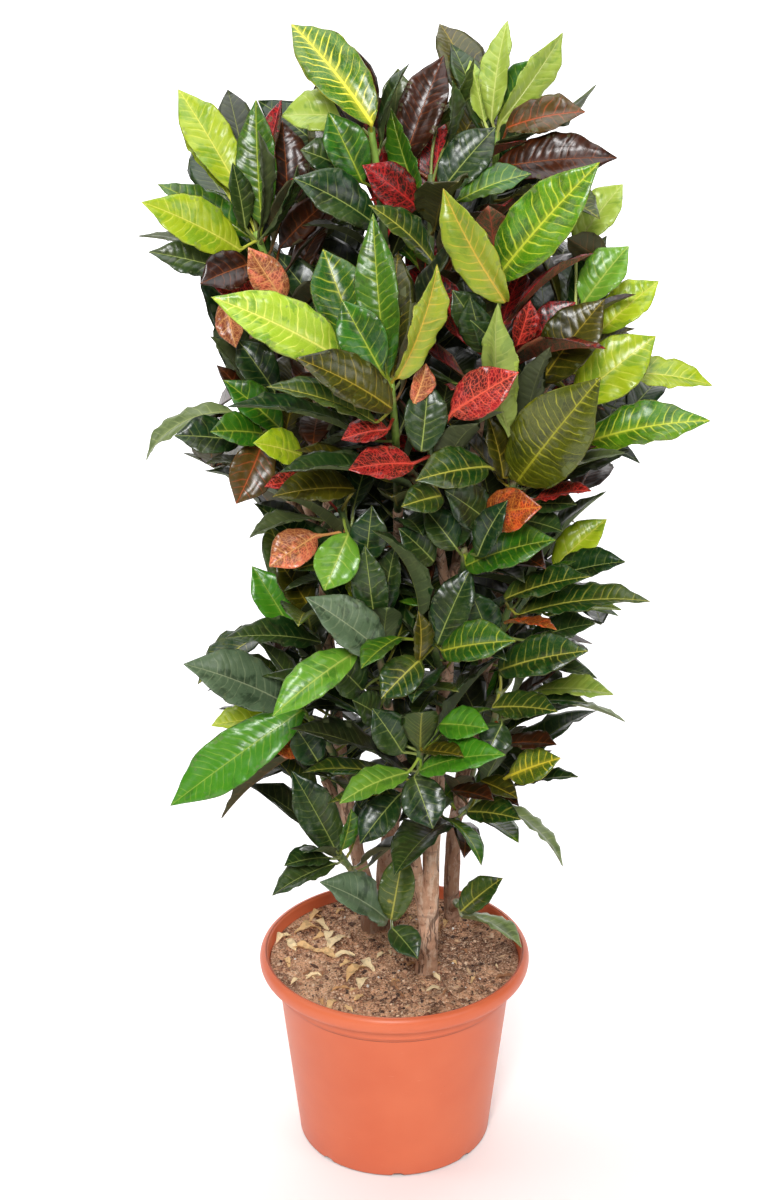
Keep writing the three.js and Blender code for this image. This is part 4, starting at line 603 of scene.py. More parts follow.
# A leaf is clear when its slab meets no other leaf and no stem; on its own stem only the blade counts.
# Without petioleToo only the blade's middle surface is tested.
def clearOf(leaf, petioleToo=True):
    whole = leaf["wholeSlab"] if petioleToo else leaf["bladeSheet"]
    bladeOnly = leaf["bladeSlab"] if petioleToo else leaf["bladeSheet"]
    if placed:
        for i in near(whole, [other["wholeSheet"] for other in placed]):
            same = placed[i]["shoot"] == leaf["shoot"]
            sheet = placed[i]["bladeSheet" if same else "wholeSheet"]
            if meets(bladeOnly if same else whole, sheet):
                return False
    for i in near(whole, [wood["shape"] for wood in obstacles]):
        own = obstacles[i]["owner"] == leaf["shoot"]
        if meets(bladeOnly if own else whole, obstacles[i]["shape"]):
            return False
    return True


# whether a blade covers more than one of the marks, as the eye sees them
def hidesPictured(leaf):
    sight = np.stack([np.broadcast_to(eye, (len(marks), 3)), np.array(marks)], axis=1)
    return pierced(sight, leaf["bladeSheet"]["triangles"]).any(axis=1).sum() > 1


# inset keeps a leaf that many pixels inside the outline
def insideBush(leaf, inset):
    points = leaf["rows"][2:].reshape(-1, 3)
    across, down = pictured(points)
    rows, depths = np.array(bushOutline), np.array(bushDepth)
    left, right = np.interp(down, rows[:, 0], rows[:, 1]), np.interp(down, rows[:, 0], rows[:, 2])
    reach = np.interp(points[:, 2], depths[:, 0], depths[:, 1])
    return bool(((across > left + inset) & (across < right - inset) & (down > rows[0, 0] + 3 * inset)
                 & (np.hypot(points[:, 0], points[:, 1]) < reach)).all())


# how far foot and tip move nearer or farther in mm, and roll and bend in degrees, and the share of its width
# that a blade may lose, all by the last of the tries
picture = dict(tries=70, foot=35, tip=80, roll=35, bend=25, narrower=0.25)


# a leaf that the picture shows: as read, then with growing small changes until it crosses nothing
def placePictured(shoot, row, index, count):
    colour, foot, tip, width, roll, bend = row
    for k in range(picture["tries"]):
        draw = dice(count * 131 + k)
        draws = [next(draw), next(draw), next(draw)]
        amount = k / picture["tries"]
        swings = [(2 * next(draw) - 1) * amount for _ in range(4)]
        at = seen([foot[0], foot[1], foot[2] + picture["foot"] * swings[0]])
        end = seen([tip[0], tip[1], tip[2] + picture["tip"] * swings[1]])
        rolled = math.radians(roll + picture["roll"] * swings[2])
        bent = math.radians(bend + picture["bend"] * swings[3])
        narrowed = width * (1 - picture["narrower"] * amount)
        leaf = makeLeaf(colour, at, end, narrowed, eye - at, rolled, bent, draws)
        stations = blade["shortStations" if leaf["length"] < blade["shortLeaf"] else "longStations"]
        testShapes(seatLeaf(leaf, shoot, index), stations)
        if clearOf(leaf):
            leaf["kind"] = "pictured"
            placed.append(leaf)
            mid, left, right = leaf["rows"][2:-1, 1], leaf["rows"][2:-1, 0], leaf["rows"][2:-1, 2]
            marks.extend(np.concatenate([mid, (left + mid) / 2, (mid + right) / 2]))
            return


# leaves that the picture hides: set round the stem a golden angle apart, steeper towards the tip
filler = dict(kind="filler", length=142, lengthSpread=34, widthShare=0.39, stalk=26, low=-8, high=50, bend=38,
              tries=40, inset=0, lowest=0,
              colours=["dark", "deep", "green", "dark", "olive", "maroon", "darkvein", "deep"],
              lowColours=["dark", "deep", "green", "dark", "darkvein", "dark", "darkvein", "deep"])
highShoots = 700  # mm up, where the leaves turn to more maroon ones

# for fillers and infill: degrees from leaf to leaf and from shoot to shoot, and how far the rest may swing
spiral = dict(golden=137.5, perShoot=57, turn=70, climb=30, roll=25, bend=20, shorter=0.3, stalk=0.4)


def colourAt(rule, height, share):
    colours = rule["lowColours" if height < highShoots else "colours"]
    return colours[int(share * len(colours))]


# a direction from its turn round the pot's axis and its climb
def direction(turn, climb):
    return np.array([math.cos(turn) * math.cos(climb), math.sin(turn) * math.cos(climb), math.sin(climb)])


def placeFiller(shoot, index, fillers, count, rule):
    share = (index + 0.5) / fillers
    at = pointAlong(shoot["leafy"], shoot["leafyLength"] * (0.12 + 0.86 * share))
    for k in range(rule["tries"]):
        draw = dice(count * 131 + k)
        draws = [next(draw), next(draw), next(draw)]
        amount = 0.25 + k / rule["tries"]
        swing = spiral["turn"] * (2 * next(draw) - 1) * amount
        turn = math.radians(spiral["golden"] * index + spiral["perShoot"] * shoot["index"] + swing)
        swing = spiral["climb"] * (2 * next(draw) - 1) * amount
        out = direction(turn, math.radians(rule["low"] + (rule["high"] - rule["low"]) * share + swing))
        shorter = 1 - spiral["shorter"] * amount * draws[2]
        length = (rule["length"] + rule["lengthSpread"] * (draws[1] - 0.5)) * shorter
        foot = at + out * rule["stalk"] * (1 + spiral["stalk"] * (2 * next(draw) - 1) * amount)
        roll = math.radians(spiral["roll"] * (2 * next(draw) - 1) * amount)
        colour = colourAt(rule, at[2], next(draw))
        bend = math.radians(rule["bend"] + spiral["bend"] * (2 * next(draw) - 1) * amount)
        leaf = makeLeaf(colour, foot, foot + out * length, length * rule["widthShare"], np.array([0.0, 0, 1]),
                        roll, bend, draws)
        testShapes(seatLeaf(leaf, shoot, index), blade["shortStations"])
        if leaf["rows"][2:, :, 2].min() < rule["lowest"]:
            continue
        if (insideBush(leaf, rule["inset"]) and not hidesPictured(leaf)
                and clearOf(leaf, rule["kind"] == "filler")):
            leaf["kind"] = rule["kind"]
            placed.append(leaf)
            return


count = 0
for shoot in allShoots:
    for index, row in enumerate(shoot["leaves"]):
        placePictured(shoot, row, index, count)
        count += 1
for shoot in allShoots:
    for index in range(shoot["fillers"]):
        placeFiller(shoot, index, shoot["fillers"], count, filler)
        count += 1
print("leaves placed:", len(placed), "of", count)

# smaller leaves in the shade between the others, along the whole of each branch, clear of the trunks' feet
infill = dict(kind="infill", length=100, lengthSpread=44, widthShare=0.42, stalk=20, low=-25, high=60,
              bend=36, tries=24, perHighShoot=17, perLowShoot=10, lowest=330, inset=7, feetTo=420,
              frontTo=560,
              colours=["maroon", "deep", "maroon", "crimson", "dark", "olive", "maroon", "deep"],
              lowColours=["dark", "deep", "darkvein", "dark", "green", "deep", "maroon", "dark"])
for line in trunkLines.values():
    feet = smoothLine(line, 6)
    marks.extend(feet[(feet[:, 2] > level["soil"]) & (feet[:, 2] < infill["feetTo"])])
front = smoothLine(trunkLines["trunk_front"], 8)
marks.extend(front[front[:, 2] < infill["frontTo"]])
for shoot in allShoots:
    branch = dict(shoot, leafy=shoot["line"], leafyLength=lineLength(shoot["line"]), youngFrom=math.inf)
    high = shoot["line"][-1, 2] > highShoots
    amount = infill["perHighShoot" if high else "perLowShoot"]
    for index in range(amount):
        placeFiller(branch, index, amount, count, infill)
        count += 1
print("with the leaves in the shade:", len(placed))

# Where the picture would still show light between the leaves, a leaf is hung behind them. The bush is
# looked through on a grid of pixels, and each leaf is as good as its flat triangles on the picture.
backing = dict(kind="infill", step=8, top=125, bottom=650, left=100, right=680, edge=36, length=88,
               lengthSpread=40, widthShare=0.46, bend=25, longestPetiole=80, tries=18, inset=17,
               near=[-30, -70, 0, -110, 30, -150],
               colours=["maroon", "deep", "maroon", "deep", "dark", "deep"],
               lowColours=["dark", "deep", "maroon", "dark", "darkvein", "deep"])


# a spot is inside a triangle when it lies on the same side of all three edges
def coveredBy(leaf, spots):
    corners = np.stack(pictured(leaf["wholeSheet"]["triangles"]), axis=-1)[None]
    edges = np.roll(corners, -1, axis=2) - corners
    reach = spots[:, None, None] - corners
    turn = edges[..., 0] * reach[..., 1] - edges[..., 1] * reach[..., 0]
    return ((turn >= 0).all(axis=2) | (turn <= 0).all(axis=2)).any(axis=1)


# points of a grid on the picture, well inside the bush, that no leaf covers
def openSpots():
    b = backing
    grid = np.mgrid[b["top"]:b["bottom"]:b["step"], b["left"]:b["right"]:b["step"]]
    down, across = grid.astype(float)
    rows = np.array(bushOutline)
    left, right = np.interp(down, rows[:, 0], rows[:, 1]), np.interp(down, rows[:, 0], rows[:, 2])
    inside = (across > left + b["edge"]) & (across < right - b["edge"])
    spots = np.stack([across[inside], down[inside]], axis=-1)
    for leaf in placed:
        spots = spots[~coveredBy(leaf, spots)]
    return spots


# a leaf across one spot, at one of the depths, that hangs from the nearest branch
def hangBehind(spot, count):
    for k in range(backing["tries"]):
        draw = dice(count * 131 + k)
        draws = [next(draw), next(draw), next(draw)]
        centre = seen([spot[0], spot[1], backing["near"][k % len(backing["near"])]])
        turn, climb = 2 * math.pi * next(draw), math.radians(-20 + 80 * next(draw))
        out = direction(turn, climb)
        length = backing["length"] + backing["lengthSpread"] * (next(draw) - 0.5)
        foot = centre - out * length / 2
        branch = min(branches, key=lambda b: size(b["smooth"] - foot).min())
        if size(branch["smooth"] - foot).min() > backing["longestPetiole"]:
            continue
        colour = colourAt(backing, foot[2], next(draw))
        towards = unit(eye - centre) + [0, 0, 0.6]
        leaf = makeLeaf(colour, foot, foot + out * length, length * backing["widthShare"], towards, 0,
                        math.radians(backing["bend"]), draws)
        testShapes(seatLeaf(leaf, branch, k), blade["shortStations"])
        if insideBush(leaf, backing["inset"]) and not hidesPictured(leaf) and clearOf(leaf, False):
            leaf["kind"] = backing["kind"]
            placed.append(leaf)
            return leaf


branches = [dict(shoot, leafy=shoot["line"], leafyLength=lineLength(shoot["line"]), youngFrom=math.inf,
                 smooth=smoothLine(shoot["line"], 5)) for shoot in allShoots]
spots = openSpots()
print("open spots before:", len(spots))
waiting = np.ones(len(spots), bool)
for i in np.random.default_rng(3).permutation(len(spots)):
    if waiting[i]:
        leaf = hangBehind(spots[i], count)
        count += 1
        if leaf:
            waiting &= ~coveredBy(leaf, spots)
print("open spots after:", waiting.sum(), "leaves now:", len(placed))


# a mesh from arrays: points in mm, faces as point numbers, uv per point, and values as (kind, rows) per point
# or per corner
def meshFrom(name, points, faces, uv=None, values=None):
    mesh = bpy.data.meshes.new(name)
    mesh.from_pydata((np.asarray(points) * metres).tolist(), [], faces)
    mesh.polygons.foreach_set("use_smooth", np.ones(len(mesh.polygons), bool))
    if uv is not None:
        corners = np.empty(len(mesh.loops), np.int32)
        mesh.loops.foreach_get("vertex_index", corners)
        mesh.uv_layers.new(name="UVMap").data.foreach_set("uv", np.asarray(uv)[corners].ravel())
    for key, (kind, array) in (values or {}).items():
        domain = "CORNER" if len(array) == len(mesh.loops) and len(array) != len(points) else "POINT"
        layer = mesh.attributes.new(key, kind, domain)
        field = dict(FLOAT="value", FLOAT_VECTOR="vector")[kind]
        layer.data.foreach_set(field, np.asarray(array, np.float32).ravel())
    mesh.update()
    piece = bpy.data.objects.new(name, mesh)
    bpy.context.scene.collection.objects.link(piece)
    return piece


# faces of a closed tube: rings of points one after another, a point at each end
def tubeFaces(rings, around, first=0):
    here = np.arange(around)
    beside = (here + 1) % around
    rows = first + (np.arange(rings - 1) * around)[:, None]
    quads = np.stack([rows + here, rows + beside, rows + beside + around, rows + here + around], axis=-1)
    start, end = first + rings * around, first + rings * around + 1
    top = first + (rings - 1) * around
    caps = np.concatenate([np.stack([first + beside, first + here, np.full(around, start)], axis=1),
                           np.stack([top + here, top + beside, np.full(around, end)], axis=1)])
    return quads.reshape(-1, 4).tolist() + caps.tolist()


# every piece moves with the frame's one body; nodes are those of the frame that it stands in for
def place(piece, finish, slot, nodes):
    piece.data.materials.append(finish)
    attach(piece, "root")
    if nodes:
        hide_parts(*nodes)


# directions along a line and a pair across it, each square to the last one's turn
def framesAlong(line):
    tangents = unit(np.gradient(line, axis=0))
    across = [unit(cross(tangents[0], np.array([0.0, 1, 0] if abs(tangents[0, 1]) < 0.9 else [1.0, 0, 0])))]
    for tangent in tangents[1:]:
        across.append(unit(across[-1] - tangent * dot(across[-1], tangent)))
    across = np.array(across)
    return tangents, across, cross(tangents, across)


# radius round a line: its taper, times swellings where leaves once stood, long ridges, and a few burls
def branchPoints(line, radii, look, seed):
    tangents, across, up = framesAlong(line)
    along = np.concatenate([[0], np.cumsum(size(np.diff(line, axis=0)))])[:, None]
    turn = 2 * np.pi * np.arange(look["around"]) / look["around"]
    phase = along / look["knots"] + 0.13 * np.sin(turn + seed) + 0.3 * np.sin(along * 0.031 + seed) + seed
    rings = np.exp(-(phase % 1 - 0.5) ** 2 * 90) * (0.6 + 0.4 * np.sin(2 * turn + along * 0.11 + 3 * seed))
    rough = np.sin(2 * turn + along * 0.045 + seed) + 0.6 * np.sin(3 * turn - along * 0.08 + 2 * seed)
    ridges = (np.sin(5 * turn + 1.3 * np.sin(along * 0.05 + seed))
              + 0.7 * np.sin(8 * turn + 1.9 * np.sin(along * 0.037))
              + 0.5 * np.sin(11 * turn - 2.3 * np.sin(along * 0.06 + 2 * seed)))
    burls = 0
    draw = dice(int(seed * 10) + 3)
    for _ in range(look["burls"]):
        height, side, strength = next(draw) * along[-1], 2 * np.pi * next(draw), next(draw)
        off = (turn - side + np.pi) % (2 * np.pi) - np.pi
        burls = burls + (0.1 + 0.2 * strength) * np.exp(-((along - height) / 7) ** 2 - (off / 0.6) ** 2)
    swell = 1 + look["knotHeight"] * rings + look["wander"] * rough + look["ridge"] * ridges + burls
    radius = radii[:, None] * swell
    ring = across[:, None] * np.cos(turn)[None, :, None] + up[:, None] * np.sin(turn)[None, :, None]
    points = line[:, None] + ring * radius[..., None]
    uv = np.stack(np.broadcast_arrays(turn[None] / (2 * np.pi), along / 100), axis=-1)
    ends = np.array([line[0], line[-1] + tangents[-1] * radii[-1] * 0.3])
    return (np.vstack([points.reshape(-1, 3), ends]),
            np.vstack([uv.reshape(-1, 2), [[0.5, 0], [0.5, along[-1, 0] / 100]]]), len(line), look["around"])


# several tubes as the points, faces and uv of one mesh
def joined(parts):
    points, uvs, faces = [], [], []
    count = 0
    for part, uv, rings, around in parts:
        faces += tubeFaces(rings, around, count)
        points.append(part)
        uvs.append(uv)
        count += len(part)
    return np.vstack(points), faces, np.vstack(uvs)


class Wire:  # an output socket that can be used in arithmetic
    def __init__(self, finish, socket):
        self.finish = finish
        self.socket = socket

    def math(self, operation, *others):
        values = dict(enumerate((self,) + others))
        return self.finish.add("ShaderNodeMath", dict(operation=operation), values)

    def flipped(self, operation, other):
        return self.finish.add("ShaderNodeMath", dict(operation=operation), {0: other, 1: self})

    def __add__(self, other):
        return self.math("ADD", other)

    def __radd__(self, other):
        return self.flipped("ADD", other)

    def __sub__(self, other):
        return self.math("SUBTRACT", other)

    def __rsub__(self, other):
        return self.flipped("SUBTRACT", other)

    def __mul__(self, other):
        return self.math("MULTIPLY", other)

    def __rmul__(self, other):
        return self.flipped("MULTIPLY", other)

    def __truediv__(self, other):
        return self.math("DIVIDE", other)

    def __rtruediv__(self, other):
        return self.flipped("DIVIDE", other)

    def __pow__(self, other):
        return self.math("POWER", other)

    def __rpow__(self, other):
        return self.flipped("POWER", other)

    def __abs__(self):
        return self.math("ABSOLUTE")


class Finish:  # one material and the nodes in it
    def __init__(self, name):
        self.material = bpy.data.materials.new(name)
        self.material.use_nodes = True
        self.tree = self.material.node_tree
        self.tree.nodes.clear()

    def add(self, kind, settings=None, sockets=None, out=0):
        node = self.tree.nodes.new(kind)
        for key, value in (settings or {}).items():
            setattr(node, key, value)
        for key, value in (sockets or {}).items():
            if isinstance(value, Wire):
                self.tree.links.new(value.socket, node.inputs[key])
            else:
                node.inputs[key].default_value = value
        return Wire(self, node.outputs[out]) if node.outputs else None

    def value(self, name):
        return self.add("ShaderNodeAttribute", dict(attribute_name=name), out="Fac")

    def vector(self, name):
        return self.add("ShaderNodeAttribute", dict(attribute_name=name), out="Vector")

    def parts(self, vector):
        split = self.add("ShaderNodeSeparateXYZ", {}, {0: vector})
        outputs = split.socket.node.outputs
        return [Wire(self, outputs[i]) for i in range(3)]

    def join(self, x, y, z):
        return self.add("ShaderNodeCombineXYZ", {}, {0: x, 1: y, 2: z})

    def noise(self, vector, scale, detail=2, rough=0.5):
        sockets = dict(Vector=vector, Scale=scale, Detail=detail, Roughness=rough)
        return self.add("ShaderNodeTexNoise", {}, sockets)

    # the first colour where share is 0, the second where it is 1
    def mix(self, share, first, second):
        return self.add("ShaderNodeMix", dict(data_type="RGBA", clamp_factor=True),
                        {0: share, 6: first, 7: second}, out=2)

    # 0 below low, 1 above high, smooth between
    def step(self, value, low, high):
        return self.add("ShaderNodeMapRange", dict(interpolation_type="SMOOTHSTEP"),
                        {"Value": value, "From Min": low, "From Max": high})

    def bump(self, height, strength, distance):
        sockets = dict(Height=height, Strength=strength, Distance=distance * metres)
        return self.add("ShaderNodeBump", {}, sockets)

    def surface(self, **sockets):
        named = {key.replace("_", " "): value for key, value in sockets.items()}
        shader = self.add("ShaderNodeBsdfPrincipled", {}, named)
        self.add("ShaderNodeOutputMaterial", {}, {"Surface": shader})
        return self.material


# a colour as seen on a screen (0 to 255) turned into the renderer's light values
def shade(red, green, blue):
    screen = np.array([red, green, blue]) / 255
    linear = np.where(screen <= 0.04045, screen / 12.92, ((screen + 0.055) / 1.055) ** 2.4)
    return (*linear.tolist(), 1.0)


# looks of leaves: main colour, vein colour, blotch colour, then strength of the side veins, share of blotches
# and width of the midrib
leafLooks = {
    "lime": [shade(156, 178, 22), shade(222, 220, 88), shade(104, 144, 22), 0.45, 0.6, 1.0],
    "limehero": [shade(148, 178, 40), shade(230, 230, 108), shade(76, 130, 24), 0.7, 0.55, 1.3],
    "limeorange": [shade(128, 146, 38), shade(220, 178, 64), shade(90, 122, 28), 0.45, 0.4, 1.3],
    "limepale": [shade(150, 172, 62), shade(206, 214, 120), shade(108, 142, 44), 0.4, 0.5, 0.9],
    "limevein": [shade(58, 108, 12), shade(238, 226, 72), shade(30, 78, 12), 1.0, 0.5, 2.0],
    "hero": [shade(66, 124, 8), shade(206, 214, 62), shade(28, 82, 10), 0.8, 0.7, 1.4],
    "greenbright": [shade(64, 134, 22), shade(160, 188, 66), shade(36, 98, 20), 0.3, 0.45, 1.0],
    "green": [shade(34, 92, 12), shade(176, 190, 60), shade(16, 56, 10), 0.32, 0.6, 1.0],
    "greenvein": [shade(26, 78, 16), shade(198, 200, 60), shade(16, 50, 14), 0.5, 0.45, 1.1],
    "fresh": [shade(90, 142, 34), shade(186, 204, 88), shade(50, 106, 24), 0.4, 0.5, 1.2],
    "oliveleaf": [shade(62, 72, 4), shade(176, 172, 44), shade(30, 42, 4), 0.6, 0.55, 1.4],
    "grey": [shade(72, 84, 48), shade(120, 124, 72), shade(52, 62, 36), 0.25, 0.5, 0.9],
    "silver": [shade(112, 128, 76), shade(170, 180, 112), shade(76, 94, 52), 0.35, 0.5, 1.0],
    "dark": [shade(8, 46, 12), shade(180, 194, 100), shade(8, 22, 8), 0.1, 0.55, 0.8],
    "deep": [shade(8, 24, 9), shade(150, 156, 84), shade(10, 12, 7), 0.08, 0.6, 0.7],
    "darkvein": [shade(12, 56, 12), shade(206, 200, 80), shade(10, 28, 8), 0.26, 0.45, 1.2],
    # painted sheen: this look's main colour is lightened to stand for the whitish sheen on these glossy leaves
    "bluegreenSheen": [shade(82, 102, 74), shade(168, 178, 136), shade(22, 42, 24), 0.2, 0.45, 0.9],
    "goldspot": [shade(14, 58, 12), shade(206, 196, 84), shade(204, 176, 48), 0.16, 0.12, 1.2],
    "yellowvein": [shade(44, 88, 18), shade(230, 208, 58), shade(28, 62, 16), 0.85, 0.3, 1.6],
    "olive": [shade(48, 52, 4), shade(176, 152, 44), shade(24, 26, 6), 0.3, 0.6, 0.9],
    "olivered": [shade(74, 60, 20), shade(190, 84, 40), shade(48, 38, 16), 0.35, 0.5, 1.1],
    "maroon": [shade(42, 15, 5), shade(158, 82, 32), shade(14, 11, 5), 0.2, 0.7, 0.8],
    "red": [shade(140, 18, 22), shade(232, 78, 60), shade(58, 18, 12), 0.65, 0.9, 1.0],
    "crimson": [shade(118, 10, 18), shade(208, 48, 42), shade(28, 16, 12), 0.55, 0.9, 1.0],
    "redhero": [shade(154, 18, 30), shade(238, 96, 72), shade(76, 22, 18), 0.75, 0.95, 1.2],
    "salmon": [shade(206, 98, 72), shade(236, 172, 104), shade(126, 62, 36), 0.5, 0.9, 1.0],
    "orange": [shade(200, 70, 32), shade(234, 144, 56), shade(118, 46, 20), 0.5, 0.9, 1.0],
}
# thickness at the midrib and at the edge, height of the rib below and depth of the groove above, waves along
# the edge and over the blade, all in mm; pointed is how much narrower the tip is drawn; then, for each kind
# of leaf, the rings along its petiole and its blade and the points round each
leafSizes = dict(thickness=0.9, rim=0.25, rib=0.9, groove=0.5, petiole=1.35, edgeWave=1.8, bladeWave=0.8,
                 waveLength=120, hollow=1.7, pointed=0.55, pointedFrom=0.68, ribShare=0.2,
                 pictured=(5, 26, 16), filler=(4, 16, 12), infill=(2, 6, 8))


# A leaf is one closed tube. Angle goes round it: the cosine is the side, from one edge to the other,
# and the sine the upper or the lower face. Along it the tube starts as a round petiole, and from the
# foot it is flat and as wide as the blade. It is thickest at the midrib, which stands out below.
def leafSurface(leaf):
    p = leafSizes
    stalks, stations, around = p[leaf["kind"]]
    turn = math.pi - 2 * math.pi * np.arange(around) / around
    side, upper = np.round(np.cos(turn), 9), np.round(np.sin(turn), 9)
    stalk = unit(leaf["foot"] - leaf["root"])
    share = (np.arange(stalks) / stalks)[:, None, None]
    face = carried(leaf["axis"], stalk, leaf["face"])
    across = carried(leaf["axis"], stalk, leaf["across"])
    run = size(leaf["foot"] - leaf["root"])
    sag = face * 0.05 * min(run, 30) * np.sin(np.pi * share)
    centre = leaf["root"] + (leaf["foot"] - leaf["root"]) * share - sag
    radius = p["petiole"] * (1.25 - 0.35 * np.sin(np.pi * share))
    petiole = centre + (across * side[:, None] + face * upper[:, None]) * radius

    t = 1 - np.linspace(1, 0, stations + 1)[:-1] ** 1.15
    t = (0.012 + 0.982 * t)[:, None]
    s = np.broadcast_to(side, (stations, around))
    out = np.abs(s)
    thin = p["rim"] + (p["thickness"] - p["rim"]) * (1 - out) ** 1.5
    rib = np.where((out < p["ribShare"]) & (upper < 0), p["rib"] * (1 - 0.8 * t), 0)
    groove = np.where((out < p["ribShare"]) & (upper > 0), p["groove"] * (1 - t), 0)
    lift = upper * (thin / 2 + rib) - groove
    edgeTurn = 2 * np.pi * (5.2 * t + leaf["draws"][1]) + 2.4 * s
    bladeTurn = 2 * np.pi * (8.7 * t + leaf["draws"][2]) - 1.5 * s
    ripple = (p["edgeWave"] * np.sin(edgeTurn) * out ** 3 * np.sin(np.pi * t)
              + p["bladeWave"] * np.sin(bladeTurn) * out ** 2 * np.sin(np.pi * t))
    wing = 1 - (1 - out) ** 1.8 - out
    lift = lift + wing * bladeHalfWidth(leaf, t) * math.sin(leaf["fold"]) * p["hollow"]
    pointed = 1 - p["pointed"] * np.clip((t - p["pointedFrom"]) / (1 - p["pointedFrom"]), 0, 1) ** 1.5
    spread = np.sign(s) * out ** 0.9 * pointed
    lift = lift + ripple * leaf["length"] / p["waveLength"]
    blades = bladePoint(leaf, spread, np.broadcast_to(t, s.shape), lift)
    tip = bladePoint(leaf, np.zeros(1), np.ones(1), 0)
    points = np.vstack([petiole.reshape(-1, 3), blades.reshape(-1, 3), leaf["root"][None], tip])

    stalkUv = np.stack(np.broadcast_arrays(0.5 + 0.02 * side[None, :], -0.2 + 0.2 * share[..., 0]), axis=-1)
    bladeUv = np.stack([0.5 + 0.5 * spread / pointed, np.broadcast_to(t, s.shape)], axis=-1)
    uv = np.vstack([stalkUv.reshape(-1, 2), bladeUv.reshape(-1, 2), [[0.5, -0.2], [0.5, 1]]])
    spot = np.stack(np.broadcast_arrays(spread * bladeHalfWidth(leaf, t), t * leaf["length"], upper), axis=-1)
    stalkSpot = np.zeros((stalks * around, 3)) - [0, 5, 0]
    spots = np.vstack([stalkSpot, spot.reshape(-1, 3), [[0, -5, 0], [0, leaf["length"], 0]]])
    return points, uv, spots, stalks + stations, around


# what the leaf material reads: three colours, three strengths and a place of its own in the noise
leafKinds = ["tint", "veinTint", "blotchTint", "marks", "seed"]


def leafValues(leaf, amount):
    tint, vein, blotch, strength, blotches, width = leafLooks[leaf["colour"]]
    vary = 1 + 0.24 * (leaf["draws"][0] - 0.5)
    seed = [leaf["draws"][0] * 91, leaf["draws"][1] * 57, leaf["draws"][2] * 73]
    rows = [np.array(tint) * vary, vein, blotch, [strength, blotches, width], seed]
    return [np.tile(np.array(row, float)[None, :3], (amount, 1)) for row in rows]


def leafMesh(name, leaves):
    points, uvs, faces, spots, under = [], [], [], [], []
    values = [[] for _ in leafKinds]
    count = 0
    for leaf in leaves:
        grid, uv, spot, rings, around = leafSurface(leaf)
        faces += tubeFaces(rings, around, count)
        below = (np.tile(np.arange(around), rings + 1) >= around // 2).astype(float)
        corners = np.concatenate([np.full((rings - 1) * around, 4), np.full(2 * around, 3)])
        under.append(np.repeat(below, corners))
        points.append(grid)
        uvs.append(uv)
        spots.append(spot)
        for column, rows in zip(values, leafValues(leaf, len(grid))):
            column.append(rows)
        count += len(grid)
    extra = {key: ("FLOAT_VECTOR", np.vstack(rows)) for key, rows in zip(leafKinds, values)}
    extra["spot"] = ("FLOAT_VECTOR", np.vstack(spots))
    extra["under"] = ("FLOAT", np.concatenate(under))
    return meshFrom(name, np.vstack(points), faces, np.vstack(uvs), extra)


# veinGap in mm; lean and curve draw the side veins forward, offset sets those of one half between those of
# the other, and wander bends them; furrow, grain and waves are heights, shares of bumpHeight in mm
leafSkin = dict(veinGap=7.4, lean=0.5, curve=0.008, offset=0.42, wander=1.5, sunlit=0.2, speckled=0.16,
                paler=0.38, underTint=shade(104, 112, 72), furrow=0.9, grain=0.12, waves=3.4, bump=0.5,
                bumpHeight=1.1, gloss=0.27, underGloss=0.3, coat=0.1, coatGloss=0.14, mirror=0.4)


